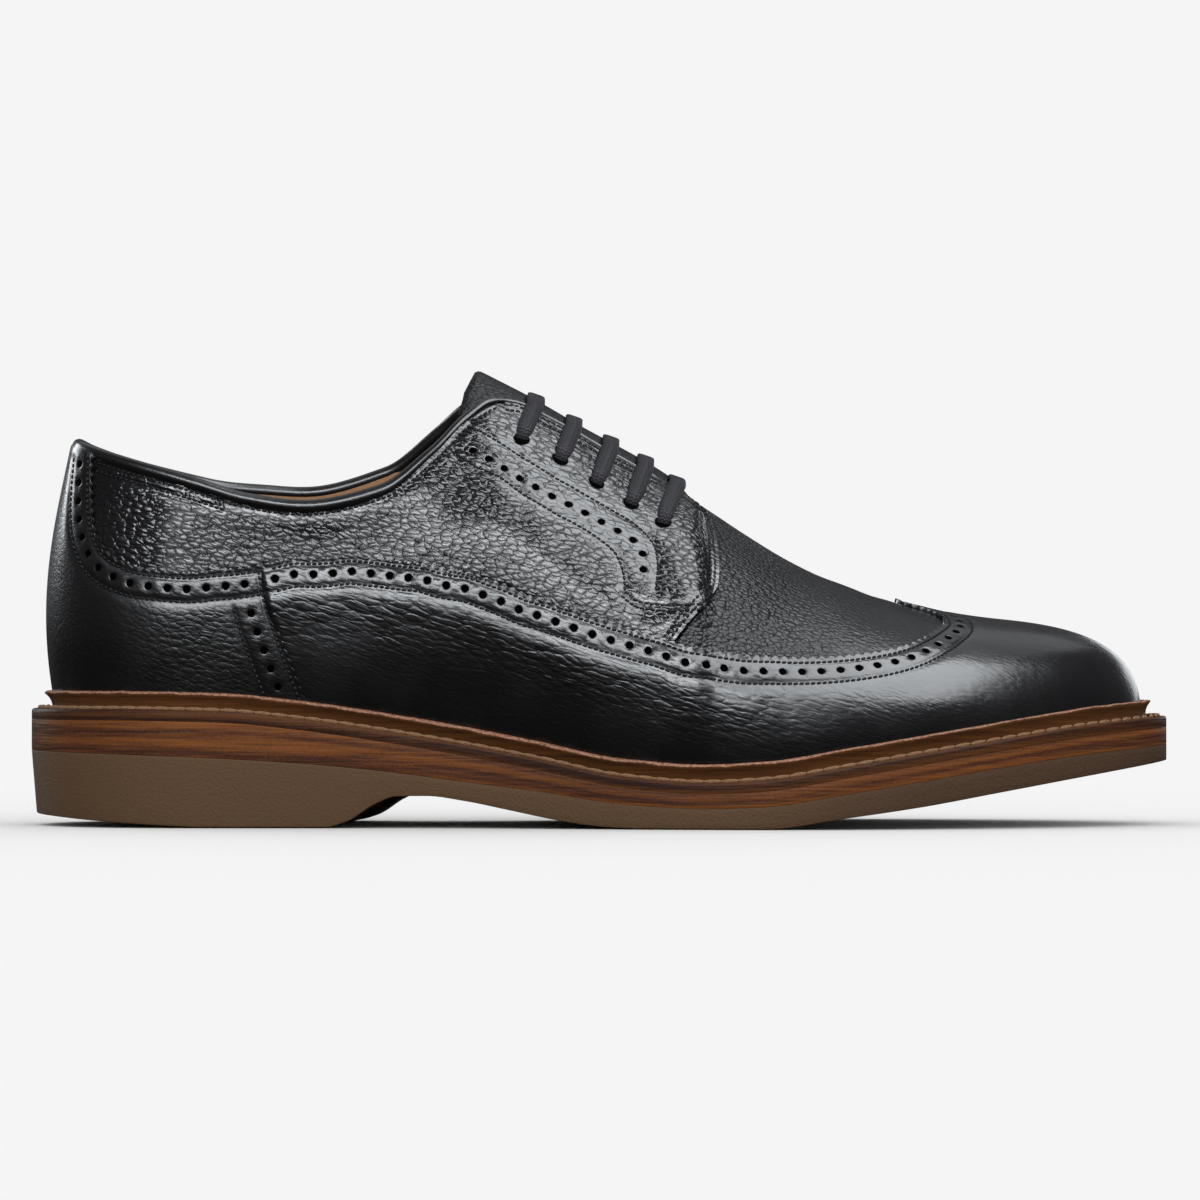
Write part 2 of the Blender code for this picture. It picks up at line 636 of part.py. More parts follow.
def make_welt():
    """Storm welt: a flat ledge round the sole, a groove, and a rim that flares up against the upper."""
    loop = loop_stations()
    edges = [sole_edge(tacks, RIB_STATIONS) for tacks in (LATERAL_EDGE, MEDIAL_EDGE)]
    edge = np.concatenate([edges[0][0], edges[1][0][-2:0:-1]])
    normal = np.concatenate([edges[0][1], edges[1][1][-2:0:-1]])

    def inset(depth, height):
        plan = edge - normal * depth
        return np.column_stack([plan, read(SOLE_LEVELS, "ledge", "x", plan[:, 0]) + height])

    at, tall = np.meshgrid(loop, RIM_SEARCH_ROWS, indexing="ij")
    rim_lift = WING_LIFT + WING_THICK + GAP
    heights = skin(at, tall, rim_lift)[..., 2]
    rim_height = inset(WELT_MARGIN, WELT_RIM_RISE)[:, 2]
    rim_row = np.array([np.interp(z, line, RIM_SEARCH_ROWS) for z, line in zip(rim_height, heights)])
    inner_top = skin(loop, rim_row, rim_lift)
    inner_foot = skin(loop, np.zeros_like(loop), rim_lift)
    inner_foot[:, 2] = read(SOLE_LEVELS, "ledge", "x", inner_foot[:, 0])
    tip = skin(loop, rim_row * WELT_TIP_SHARE, rim_lift + WELT_RIM_FLARE)
    waist = skin(loop, rim_row * WELT_WAIST_SHARE, rim_lift + WELT_WAIST_FACE)
    groove = inner_foot.copy()
    groove[:, :2] += normal * WELT_RIM_FACE
    groove[:, 2] = read(SOLE_LEVELS, "ledge", "x", groove[:, 0])
    shelf = inset(WELT_FLANGE, 0.0)
    profile = [
        inset(0.0, -WELT_THICK),
        inset(0.0, -WELT_RIM_FACE),
        inset(WELT_RIM_FACE, 0.0),
        groove,
        waist,
        tip,
        inner_top,
        inner_foot,
        shelf,
        inset(WELT_FLANGE, -WELT_THICK),
    ]
    count, tall = len(loop), len(profile)
    points = np.stack(profile, 1).reshape(-1, 3)
    faces = grid_faces(count, tall, True)
    for c in range(count):
        n = (c + 1) % count
        faces.append((c * tall + tall - 1, n * tall + tall - 1, n * tall, c * tall))
    return solid("welt", points, faces, BROWN_WELT, sharp=30.0)


def tongue_frame(x):
    """Crown point, direction up the tongue's face and direction along it, at a place along the shoe."""
    step = 0.1
    crown = np.column_stack([x, read(TONGUE, "ridge_y", "x", x), read(TONGUE, "crown", "x", x)])
    fall = (read(TONGUE, "crown", "x", x + step) - read(TONGUE, "crown", "x", x - step)) / (2 * step)
    along = unit(np.column_stack([np.ones_like(x), np.zeros_like(x), fall]))
    face = np.column_stack([-along[:, 2], np.zeros_like(x), along[:, 0]])
    return crown, face, along


def tongue_fall(x, across):
    """How far the tongue's face lies below its crown, at a place along it and across it."""
    dome = 1 - np.clip(1 - (across / SWELL_HALF) ** 2, 0, 1) ** 2
    return across**2 / (2 * read(TONGUE, "bend", "x", x)) + read(TONGUE, "swell", "x", x) * dome


def make_tongue():
    """Tongue: an arched strip under the facings that swells up between them."""
    x = np.linspace(TONGUE[0].x, TONGUE[-1].x, TONGUE_STEPS)
    crown, face, _ = tongue_frame(x)
    spread = np.linspace(-1, 1, TONGUE_COLUMNS)
    across = read(TONGUE, "half", "x", x)[:, None] * spread
    fall = tongue_fall(np.broadcast_to(x[:, None], across.shape), across)
    top = crown[:, None] - face[:, None] * fall[..., None]
    top[..., 1] += across
    flat_x = np.gradient(top, axis=0)
    flat_y = np.gradient(top, axis=1)
    inward = -unit(np.cross(flat_x, flat_y))
    low = top + inward * TONGUE_THICK
    count, tall = len(x), len(spread)
    shift = count * tall
    faces = grid_faces(count, tall, False)
    faces += [tuple(i + shift for i in reversed(f)) for f in faces]
    border = [(c * tall, (c + 1) * tall) for c in range(count - 1)]
    border += [((c + 1) * tall + tall - 1, c * tall + tall - 1) for c in range(count - 1)]
    border += [(r + 1, r) for r in range(tall - 1)]
    border += [(shift - tall + r, shift - tall + r + 1) for r in range(tall - 1)]
    faces += [(b, a, a + shift, b + shift) for a, b in border]
    return solid("tongue", np.concatenate([top.reshape(-1, 3), low.reshape(-1, 3)]), faces, BLACK_LEATHER)


def make_lace_bar(name, x):
    """One straight bar of flat lace, from above the lateral eyelet over the tongue to the medial one."""
    crown, face, along = (v[0] for v in tongue_frame(np.array([x])))
    stations = np.linspace(*THROAT_STATIONS, THROAT_SAMPLES)
    rows = np.linspace(LACE_END_ROW, FACING_ROW, LACE_END_STEPS)
    lift = QUARTER_LIFT + QUARTER_THICK + LACE_CLEARANCE
    halves, faces_out = [], []
    for side in (LATERAL, MEDIAL):
        at, height = np.meshgrid(stations, rows, indexing="ij")
        off = (side.lifted(at, height, np.full_like(at, lift)) - crown) @ along
        cross = np.array([np.interp(0.0, line, stations) for line in off.T])
        halves.append(side.lifted(cross, rows, np.full_like(rows, lift)))
        faces_out.append(side.lifted(cross, rows, np.full_like(rows, lift + 1)) - halves[-1])
    near, far = halves[0][-1], halves[1][-1]
    top = crown + face * LACE_CLEARANCE
    reach = LACE_ARCH[:, None]
    arch = np.where(reach < 0, top + (near - top) * -reach, top + (far - top) * reach)
    short = (crown - arch) @ face - tongue_fall(x, arch[:, 1] - crown[1]) + LACE_CLEARANCE
    arch += face * np.maximum(short, 0.0)[:, None]
    path = np.concatenate([halves[0], arch, halves[1][::-1]])
    run = unit(np.gradient(path, axis=0))
    over = np.cross(np.broadcast_to(along, arch.shape), run[len(rows) : -len(rows)])
    out = unit(np.concatenate([faces_out[0], over, faces_out[1][::-1]]))
    wide = unit(np.cross(run, out)) * LACE_WIDTH / 2
    ring = [path - wide, path + wide, path + wide + out * LACE_THICK, path - wide + out * LACE_THICK]
    points = np.stack(ring, 1).reshape(-1, 3)
    count = len(path)
    faces = []
    for c in range(count - 1):
        for r in range(4):
            n = (r + 1) % 4
            faces.append((c * 4 + r, c * 4 + n, c * 4 + 4 + n, c * 4 + 4 + r))
    faces += [(3, 2, 1, 0), tuple(count * 4 - 4 + r for r in range(4))]
    return solid(name, points, faces, BLACK_COTTON)


make_plate("outsole", 0.0, floor_height, level("outsole", 0.0), TAUPE_RUBBER, HEEL_RAKE)
make_plate("midsole", 0.0, level("outsole", GAP), level("ledge", -WELT_THICK - GAP), BROWN_MIDSOLE)
make_welt()
insole_inset = WELT_MARGIN + WALL + GAP + INSOLE_EASE
make_plate("insole", insole_inset, level("ledge", GAP), level("ledge", GAP + INSOLE_THICK), TAN_LINING)
make_upper()
make_tongue()
PATTERNS = Pattern(LATERAL), Pattern(MEDIAL)
make_wing(*PATTERNS)
make_counter(*PATTERNS)
make_quarter("quarter_lateral", PATTERNS[0])
make_quarter("quarter_medial", PATTERNS[1])
for number, place in enumerate(LACE_CROWNS, 1):
    make_lace_bar(f"lace_bar_{number}", place)
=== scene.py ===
"""Looks of the long-wing derby: lasted leather panels, seams, laces, welt and sole around the solids.

Sizes are in millimetres on the last and become metres when a mesh is made.
X runs from heel to toe, -Y is the outer (lateral) side and Z is up from the floor.
"""

import math
from collections import namedtuple

import bpy
import numpy as np
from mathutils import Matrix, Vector
from mathutils.geometry import delaunay_2d_cdt
from mathutils.kdtree import KDTree


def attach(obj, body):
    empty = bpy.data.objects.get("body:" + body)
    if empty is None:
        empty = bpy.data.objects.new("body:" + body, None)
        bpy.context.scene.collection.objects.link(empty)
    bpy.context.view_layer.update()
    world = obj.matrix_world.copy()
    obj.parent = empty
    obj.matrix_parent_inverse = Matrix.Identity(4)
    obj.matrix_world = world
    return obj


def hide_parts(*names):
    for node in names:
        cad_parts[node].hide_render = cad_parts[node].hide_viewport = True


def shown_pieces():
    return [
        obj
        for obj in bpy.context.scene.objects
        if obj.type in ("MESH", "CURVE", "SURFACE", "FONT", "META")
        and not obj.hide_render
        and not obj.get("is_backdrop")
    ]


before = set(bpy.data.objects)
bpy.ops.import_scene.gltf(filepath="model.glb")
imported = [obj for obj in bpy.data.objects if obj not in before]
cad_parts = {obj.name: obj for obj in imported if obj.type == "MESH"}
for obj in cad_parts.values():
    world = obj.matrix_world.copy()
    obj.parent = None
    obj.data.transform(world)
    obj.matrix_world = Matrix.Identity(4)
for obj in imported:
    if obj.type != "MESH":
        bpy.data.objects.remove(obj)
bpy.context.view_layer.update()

# Camera and stage, in metres and degrees
CAMERA_DISTANCE = 1.75
CAMERA_HEIGHT = 0.05
CAMERA_TILT = 0.344
CAMERA_LENS = 193.65
SENSOR = 36.0
BACKDROP = (0.913, 0.913, 0.913)
FLOOR_HALF = 40.0
FLOOR_DROP = 0.0003
GLOSSY_FLOOR = (0.02, 0.02, 0.02)
GLOSSY_ROOM = (0.08, 0.08, 0.0864)
SKY_LIGHT = (1.0, 1.0, 1.0)
COOL = (0.93, 0.97, 1.0)
Softbox = namedtuple("Softbox", "name place aim size power")
SHOE_MIDDLE = (0.0, 0.0, 0.06)
REAR_HALF = (-0.21, 0.0, 0.06)
FRONT_HALF = (0.3, 0.0, 0.06)
SOFTBOXES = (
    Softbox("low_softbox", (-0.21, -1.189, 0.446), REAR_HALF, (0.8, 0.175), 1.9),
    Softbox("middle_softbox", (-0.21, -1.123, 0.608), REAR_HALF, (0.8, 0.175), 4.0),
    Softbox("upper_softbox", (-0.21, -1.042, 0.75), REAR_HALF, (0.8, 0.153), 6.8),
    Softbox("high_softbox", (0.335, -0.3, 0.75), FRONT_HALF, (0.55, 0.86), 11.0),
    Softbox("top_softbox", (0.0, 0.4, 0.753), SHOE_MIDDLE, (0.95, 0.75), 1.1),
    Softbox("back_left_softbox", (-1.0, 0.75, 0.5), SHOE_MIDDLE, (0.7, 0.5), 7.0),
    Softbox("back_right_softbox", (0.7, 1.1, 0.3), SHOE_MIDDLE, (0.7, 0.4), 1.6),
)

# Driving sizes of the shoe
MM = 0.001
SOLE_LENGTH = 308.0
SOLE_MIDDLE = -1.25
WELT_MARGIN = 8.3
FOOT_GAP = 0.3
HEEL_TIP = -SOLE_LENGTH / 2
TOE_TIP = SOLE_LENGTH / 2

# Sole pattern: tack points around the sole with the edge's heading and the pull of its curve on both sides
Tack = namedtuple("Tack", "x y heading pull_in pull_out")
HEEL_BACK = Tack(HEEL_TIP, 0.0, -90.0, 23.0, 23.0)
TOE_FRONT = Tack(TOE_TIP, 5.0, 90.0, 27.0, 31.0)
LATERAL_EDGE = (
    HEEL_BACK,
    Tack(-108.0, -38.2, 0.0, 27.0, 24.0),
    Tack(-42.0, -40.0, -5.0, 22.0, 34.0),
    Tack(50.0, -55.0, 1.0, 34.0, 56.0),
    TOE_FRONT,
)
MEDIAL_EDGE = (
    HEEL_BACK._replace(heading=90.0),
    Tack(-108.0, 37.6, -2.0, 27.0, 24.0),
    Tack(-40.0, 34.5, 1.0, 22.0, 36.0),
    Tack(66.0, 52.5, 0.0, 36.0, 50.0),
    TOE_FRONT._replace(heading=-90.0),
)
Level = namedtuple("Level", "x floor outsole ledge")
SOLE_LEVELS = (
    Level(-154.0, 3.0, 20.0, 31.3),
    Level(-130.0, 1.2, 19.3, 31.3),
    Level(-102.0, 0.0, 18.2, 30.8),
    Level(-80.0, 0.0, 16.9, 28.8),
    Level(-58.0, 0.0, 14.9, 25.7),
    Level(-37.0, 0.0, 12.2, 22.2),
    Level(-16.0, 0.0, 9.6, 18.2),
    Level(6.0, 0.0, 6.4, 13.7),
    Level(28.0, 0.0, 5.2, 12.1),
    Level(44.0, 0.0, 5.8, 12.9),
    Level(64.0, 2.6, 8.9, 16.1),
    Level(85.0, 5.6, 12.3, 19.7),
    Level(106.0, 9.3, 15.8, 23.2),
    Level(130.0, 13.4, 19.2, 26.9),
    Level(154.0, 17.2, 21.5, 29.2),
)
Arch = namedtuple("Arch", "x rise")
ARCH = (
    Arch(-72.0, 0.0),
    Arch(-67.0, 1.6),
    Arch(-60.0, 6.0),
    Arch(-54.0, 8.2),
    Arch(-46.0, 8.3),
    Arch(-36.0, 7.0),
    Arch(-24.0, 4.6),
    Arch(-10.0, 1.8),
    Arch(2.0, 0.3),
    Arch(9.0, 0.0),
)
BREAST_SLANT = 6.5
BREAST_END = -46.0
SOLE_HALF = 38.0
HEEL_RAKE = 1.4

# Top edge of the upper: collar from the heel back, facing along the throat, then the ridge of the vamp
Top = namedtuple("Top", "station x half ridge_y z medial_rise")
TOP_EDGE = (
    Top(0.00, -141.3, 0.0, 0.0, 103.9, 0.0),
    Top(0.25, -139.8, 10.5, 0.0, 103.0, 0.0),
    Top(0.50, -132.5, 19.0, 0.0, 100.2, 0.1),
    Top(1.00, -108.0, 27.0, 0.0, 92.8, 1.1),
    Top(1.25, -94.0, 28.8, 0.2, 88.6, 3.6),
    Top(1.50, -79.0, 29.5, 0.5, 86.7, 4.9),
    Top(1.80, -59.0, 28.5, 1.0, 90.8, 6.2),
    Top(2.00, -45.0, 24.5, 1.5, 101.4, 6.4),
    Top(2.12, -35.5, 18.8, 2.0, 110.8, 4.5),
    Top(2.19, -29.5, 15.0, 2.0, 113.9, 2.0),
    Top(2.26, -24.0, 12.6, 2.0, 113.4, 0.5),
    Top(2.36, -14.0, 11.6, 2.0, 108.8, 0.0),
    Top(2.52, 2.0, 11.0, 2.2, 99.8, 0.0),
    Top(2.70, 19.0, 10.0, 2.5, 90.4, 0.0),
    Top(2.75, 24.5, 7.6, 2.7, 87.9, 0.0),
    Top(2.79, 29.0, 0.0, 3.0, 85.2, 0.0),
    Top(2.88, 39.0, 0.0, 3.3, 78.6, 0.0),
    Top(3.00, 53.0, 0.0, 4.0, 70.2, 0.0),
    Top(3.20, 74.0, 0.0, 4.5, 61.8, 0.0),
    Top(3.50, 92.0, 0.0, 5.0, 56.6, 0.0),
    Top(3.75, 103.0, 0.0, 5.0, 54.8, 0.0),
    Top(4.00, 110.0, 0.0, 5.0, 54.0, 0.0),
)
Rib = namedtuple("Rib", "station lean rise slope reach")
RIBS = (
    Rib(0.0, 11.0, 0.44, 80.0, 0.34),
    Rib(0.5, 11.0, 0.44, 82.0, 0.34),
    Rib(1.0, 12.0, 0.44, 84.0, 0.34),
    Rib(1.5, 16.0, 0.42, 84.0, 0.34),
    Rib(2.0, 18.0, 0.42, 66.0, 0.32),
    Rib(2.3, 17.0, 0.46, 36.0, 0.30),
    Rib(2.6, 16.0, 0.48, 30.0, 0.31),
    Rib(2.8, 16.0, 0.50, 6.0, 0.46),
    Rib(3.0, 15.0, 0.53, 2.0, 0.49),
    Rib(3.5, 9.0, 0.60, 0.0, 0.55),
    Rib(4.0, 3.0, 0.74, -1.0, 0.56),
)
THROAT_END = 2.79
FACING_STATION = 2.22

# Tongue: height of its crown and line of its middle
Tongue = namedtuple("Tongue", "x crown ridge_y")
TONGUE = (
    Tongue(-33.5, 123.2, 2.0),
    Tongue(-27.0, 119.9, 2.0),
    Tongue(-20.0, 116.3, 2.0),
    Tongue(-15.0, 113.5, 2.0),
    Tongue(-4.3, 107.3, 2.1),
    Tongue(5.0, 102.3, 2.2),
    Tongue(16.0, 96.0, 2.4),
    Tongue(20.5, 92.8, 2.6),
    Tongue(24.6, 88.0, 2.7),
    Tongue(29.0, 79.2, 3.0),
    Tongue(38.0, 73.2, 3.3),
)

# Seams seen from the side (x, height above the floor), or on the toe from above (x, distance off the ridge)
WING_SIDE_SEAM = (
    (-89.8, 69.4),
    (-79.7, 71.2),
    (-69.0, 71.7),
    (-58.3, 71.1),
    (-47.5, 69.9),
    (-36.7, 67.6),
    (-26.0, 64.3),
    (-15.9, 60.3),
    (-5.0, 56.5),
    (5.6, 53.0),
    (16.0, 50.0),
    (26.0, 47.0),
    (37.0, 45.1),
    (47.4, 44.5),
    (58.0, 44.4),
    (69.0, 45.2),
    (80.0, 47.1),
)
WING_TOE_SEAM = ((85.4, 32.0), (90.4, 25.0), (92.6, 18.5), (91.7, 11.7), (86.6, 4.6), (80.0, 0.0))
COUNTER_TOP_SEAM = (
    (-135.2, 99.6),
    (-135.3, 87.0),
    (-134.8, 81.5),
    (-133.5, 76.6),
    (-131.3, 72.8),
    (-127.5, 70.3),
    (-122.0, 68.4),
    (-111.7, 67.3),
    (-101.0, 68.0),
    (-89.8, 69.4),
)
COUNTER_FRONT_SEAM = ((-89.8, 69.4), (-88.0, 60.0), (-84.5, 49.7), (-80.8, 40.2), (-77.5, 31.0))
FLAP_SEAM = (
    (21.0, 89.3),
    (23.7, 87.1),
    (27.1, 84.3),
    (29.9, 79.6),
    (31.2, 74.0),
    (31.7, 68.0),
    (31.4, 63.5),
    (30.0, 61.0),
    (27.4, 58.0),
    (23.7, 53.7),
    (19.3, 48.0),
)
EYESTAY_UPPER_STITCH = (
    (-35.8, 106.6),
    (-26.8, 101.9),
    (-16.2, 95.1),
    (-5.7, 88.9),
    (2.3, 84.2),
    (7.8, 81.0),
    (11.9, 77.5),
    (14.7, 73.7),
    (15.4, 69.1),
    (14.8, 62.3),
)
EYESTAY_LOWER_STITCH = (
    (-39.9, 99.8),
    (-31.9, 95.1),
    (-16.1, 85.5),
    (-2.6, 77.7),
    (3.9, 72.4),
    (6.4, 65.0),
    (6.5, 62.3),
)
EYESTAY_HOLE_LINE = (
    (-36.4, 100.4),
    (-25.5, 94.9),
    (-15.7, 89.0),
    (-5.0, 83.5),
    (4.9, 78.0),
    (9.4, 75.2),
    (11.4, 70.9),
    (11.2, 65.8),
)
BAR_TACK = ((6.5, 62.3), (10.5, 59.4), (16.0, 58.6), (26.5, 58.4))

# Heights of the layers over the skin of the last
QUARTER_TOP = 1.15
QUARTER_UNDER = 0.6
FLAP_TOP = 1.9
WING_TOP = 1.85
WING_OVER_VAMP = 1.25
WING_UNDER = 0.7
WING_THICK = 1.2
COUNTER_TOP = 2.0
COUNTER_THICK = 1.2
QUARTER_THICK = 1.1
FLAP_REACH = 5.0
TUCK = 3.5
BULGE_RISE = 0.8
BULGE_MIDDLE = 9.5
BULGE_REACH = 7.0
WING_GRAIN = 12.0
WING_SMOOTH = 28.0
WING_GRAIN_FADE = 0.9
VAMP_START = 12.0
VAMP_BLEND = 18.0
BULGE_END = 75.0
BULGE_FADE = 50.0
SHELL_THICK = 0.8
LINING_DEPTH = 2.0
LINING_ROW = 0.86
LINING_TURN = 1.75
LINING_FALL = 0.3
LINING_GAP = 0.05
VAMP_GRID = (320, 56)
LINING_GRID = (240, 36)
VAMP_LIFTS = (0.0, -SHELL_THICK)
LINING_LIFTS = (-SHELL_THICK - LINING_GAP, -LINING_DEPTH)
THROAT_MARGIN = 0.02

# Seams: stitches, punched holes and pinked edges
STITCH_PITCH = 1.55
STITCH_LENGTH = 1.35
STITCH_WIDTH = 0.78
STITCH_HEIGHT = 0.6
STITCH_SLANT = 10.0
STITCH_SEAT = 0.2
GROOVE_DEPTH = 0.48
GROOVE_REACH = 0.85
TOOTH_PITCH = 2.5
TOOTH_DEPTH = 0.85
TOOTH_SHAPE = np.array([0.0, 0.62, 1.0, 0.62])
EDGE_STITCH = 1.45
BAND_HOLES = 4.35
BAND_STITCH = 7.7
FRONT_BAND_HOLES = 5.5
FRONT_BAND_STITCH = 9.8
STRAP_MIDDLE = 0.03
STRAP_STEPS = 15
FLAP_STITCHES = (1.5, 3.2)
COLLAR_STITCHES = ((3.7, 2.2), (5.8, 1.15))
COLLAR_STITCH_START = 0.09
COLLAR_SEAM_STEPS = 160
COLLAR_EDGE_STEPS = 150
FACING_STEPS = 50
BAR_TACK_GAP = 1.6
BEYOND_HEEL = 0.5
TUCK_START = 4
WING_STITCH_START = 2
RIDGE_STEPS = 60
FOOT_STEP = 1.6
FAIR_GAP = 1.0
THREAD_SHARP = 60.0
HOLE_PITCH = 5.15
HOLE_RADIUS = 1.02
HOLE_SIDES = 16
HOLE_TURN = 0.35
HOLE_DROP = 0.12
HOLE_ROW_END = 3
FRONT_HOLES_START = 9
# Painted shade in the punched holes: matte black discs below each hole, their heights and overlap
SHADE_DISC_TOP = 0.16
SHADE_DISC_BASE = 0.04
SHADE_DISC_LAP = 0.3
PINKED_ROLL = 0.26
PINKED_DROP = 0.2
FOLDED_ROLL = 1.1
FOLDED_DROP = 1.0
BEVEL_SHARES = (0.3, 1.0)
THINNEST = 0.1
CALM_GRAIN = 0.35
CALM_REACH = 3.2
FOOT_ROW = 0.008
COLLAR_ROW = 0.982
FACING_ROW = 0.985

# Flat pattern of the last: millimetres that one station and one row stand for, and the spacing of the mesh
PATTERN_SCALE = np.array([80.0, 70.0])
PATTERN_SAMPLES = (401, 101)
MESH_STEP = 0.021
MESH_CLEARANCE = 0.95
GUIDE_GAP = 1.2
GUIDE_CLEARANCE = 0.42
SETTLE_STEP = 0.02
TOE_TOP_ROW = 0.5
CUT_TOLERANCE = 1e-5
NUDGE = 1e-3
WELD = 5e-6

# Creases: soft troughs from one place (station, row) to another on one side, with a low ridge beside them
Crease = namedtuple("Crease", "sides station row end_station end_row depth reach")
BOTH, OUTER, INNER = (False, True), (False,), (True,)
CREASES = (
    Crease(BOTH, 3.02, 0.62, 3.06, 1.0, 0.16, 3.2),
    Crease(BOTH, 3.16, 0.66, 3.2, 1.0, 0.2, 3.4),
    Crease(BOTH, 3.3, 0.74, 3.33, 1.0, 0.12, 3.0),
    Crease(OUTER, 2.42, 0.3, 2.78, 0.37, 0.3, 3.6),
    Crease(OUTER, 2.62, 0.22, 2.95, 0.26, 0.25, 3.2),
    Crease(OUTER, 1.5, 0.8, 2.1, 0.7, 0.2, 7.0),
    Crease(OUTER, 0.62, 0.5, 0.98, 0.62, 0.2, 5.0),
    Crease(INNER, 2.46, 0.34, 2.8, 0.4, 0.35, 3.6),
    Crease(INNER, 2.6, 0.24, 2.98, 0.3, 0.25, 3.2),
    Crease(INNER, 1.58, 0.7, 1.96, 0.64, 0.3, 5.0),
)
RIDGE_SHARE = 0.45
RIDGE_OFF = 2.0

# Laces and eyelets
LACE_CROWNS = (-17.3, -7.0, 3.0, 12.4, 20.8)
EYELET_ROWS = (0.835, 0.82, 0.80, 0.785, 0.755)
EYELET_RADIUS = 2.2
EYELET_DROP = 0.01
LACE_WIDTH = 4.8
LACE_LEAN = math.radians(19)
LACE_PLANE = np.array([math.cos(LACE_LEAN), 0.0, -math.sin(LACE_LEAN)])
LACE_THICK = 1.35
LACE_LIFT = 0.12
LACE_DIVE = np.array([1.9, 0.55])
LACE_HIDDEN = 1.2
LACE_STEPS = 72
LACE_SIDES = 14
BINDING_END = 2.7
BINDING_STEPS = 480
BINDING_SIDES = 14
BINDING_TURN = 2.1
BINDING_BLEND = 0.14
BINDING_SLIM = 0.35
BINDING_ROW = 0.999
BINDING_TAPER = 0.06
COLLAR_ROLL = (-0.3, 1.5, 1.95, 2.0)
FACING_ROLL = (1.15, 0.75, 0.85, 0.9)
TONGUE_THICK = 2.0
TONGUE_UNDER = 1.1
TONGUE_BELOW = 2.4
TONGUE_TURN = 2.25
TONGUE_END = 2.76
TONGUE_LOW_ROW = 0.74
TONGUE_TIP_ROW = 0.9
TONGUE_TIP_SLIM = 0.1
TONGUE_TIP_SLANT = 0.5
TONGUE_DIVE = np.array([2.2, 0.0, -2.0])
TONGUE_SIDE_STEPS = 12
TONGUE_ARCH_STEPS = 23
TONGUE_STEPS = 44
TONGUE_TIP_STEPS = 15
TONGUE_DIVE_STEPS = 6
TONGUE_ROLL_ROWS = 3
TONGUE_ROLL_COLUMNS = 2
TONGUE_ROLL = 0.45
ARCH_FULLNESS = 2.6
LACE_ARCH = np.array([0.1, 0.2, 0.3, 0.4, 0.5, 0.6, 0.7, 0.8, 0.9])
LACE_ENTRY = np.array([0.004, 0.02])
LACE_REST = 0.045
LACE_SLACK = 0.2
LACE_REST_STEPS = 6
LACE_END = 0.03
LACE_END_REACH = 0.09
LACE_END_SLIM = 0.82
LACE_END_SWELL = 0.6
LACE_SQUARE = 0.45
LACE_ROUND = 0.7
LACE_SHARP = 55.0
THROAT_STATIONS = np.linspace(2.1, 2.85, 151)

# Welt profile
WELT_THICK = 3.0
WELT_LEDGE_START = 5
WELT_RIM_RISE = 4.8
WELT_RIM_FLARE = 2.0
WELT_FLANGE = 13.0
RIM_LIFT = 2.0
WELT_STITCH_INSET = 2.5
WELT_STITCH_PITCH = 4.5
WELT_STITCH_SEAT = 0.25
WELT_STITCH_SIZE = (5.4, 1.2, 1.35)
WELT_STITCH_SLANT = 13.0
RIM_WAVES = ((0.6, 37.0, 0.4), (0.5, 61.0, 2.0), (0.45, 97.0, 1.1), (0.4, 23.0, 5.0))
SOLE_COLUMNS = 360
PLATE_ROUND = 0.3
PLATE_EDGE = (
    (3.0, 0.0),
    (0.14, 0.0),
    (0.04, 0.01),
    (0.0, 0.03),
    (0.0, 0.35),
    (0.0, 0.65),
    (0.0, 0.97),
    (0.04, 0.99),
    (0.14, 1.0),
    (3.0, 1.0),
)
RIM_SEARCH_ROWS = np.linspace(0, 0.35, 71)
HEEL_RAKE_FADE = 4
WELT_SHARP = 50.0


def track(xs, ys, where):
    """Values at where on a smooth curve through (xs, ys) that never overshoots a row."""
    xs, ys, where = (np.asarray(v, float) for v in (xs, ys, where))
    step = np.diff(xs)
    rate = np.diff(ys) / step
    slope = np.zeros(len(xs))
    same = rate[:-1] * rate[1:] > 0
    left, right = 2 * step[1:] + step[:-1], step[1:] + 2 * step[:-1]
    mean = np.divide(left, rate[:-1], out=np.zeros_like(left), where=same)
    mean += np.divide(right, rate[1:], out=np.zeros_like(left), where=same)
    slope[1:-1] = np.divide(left + right, mean, out=np.zeros_like(left), where=same)
    slope[0], slope[-1] = rate[0], rate[-1]
    i = np.clip(np.searchsorted(xs, where) - 1, 0, len(step) - 1)
    u = np.clip((where - xs[i]) / step[i], 0, 1)
    return (
        ys[i] * (1 + 2 * u) * (1 - u) ** 2
        + slope[i] * step[i] * u * (1 - u) ** 2
        + ys[i + 1] * u * u * (3 - 2 * u)
        - slope[i + 1] * step[i] * u * u * (1 - u)
    )


def column(rows, name):
    return np.array([getattr(row, name) for row in rows])


def read(rows, name, key, where):
    return track(column(rows, key), column(rows, name), where)


def unit(v):
    return v / np.linalg.norm(v, axis=-1, keepdims=True)


def run_length(points):
    """Distance along a run of points, from the first to each of them."""
    return np.concatenate([[0], np.cumsum(np.linalg.norm(np.diff(points, axis=0), axis=1))])


def placed(line, reach, where):
    """Points of a line at distances along it."""
    return np.column_stack([np.interp(where, reach, values) for values in line.T])


def smooth(points, reach, count):
    """A smooth curve through points, with count points evenly along it."""
    where = np.linspace(0, reach[-1], count)
    return np.column_stack([track(reach, values, where) for values in points.T])


def ease(u):
    """Smooth step from 0 to 1."""
    u = np.clip(u, 0, 1)
    return u * u * (3 - 2 * u)


def bezier(a, b, c, d, u):
    return a * (1 - u) ** 3 + 3 * b * u * (1 - u) ** 2 + 3 * c * u * u * (1 - u) + d * u**3


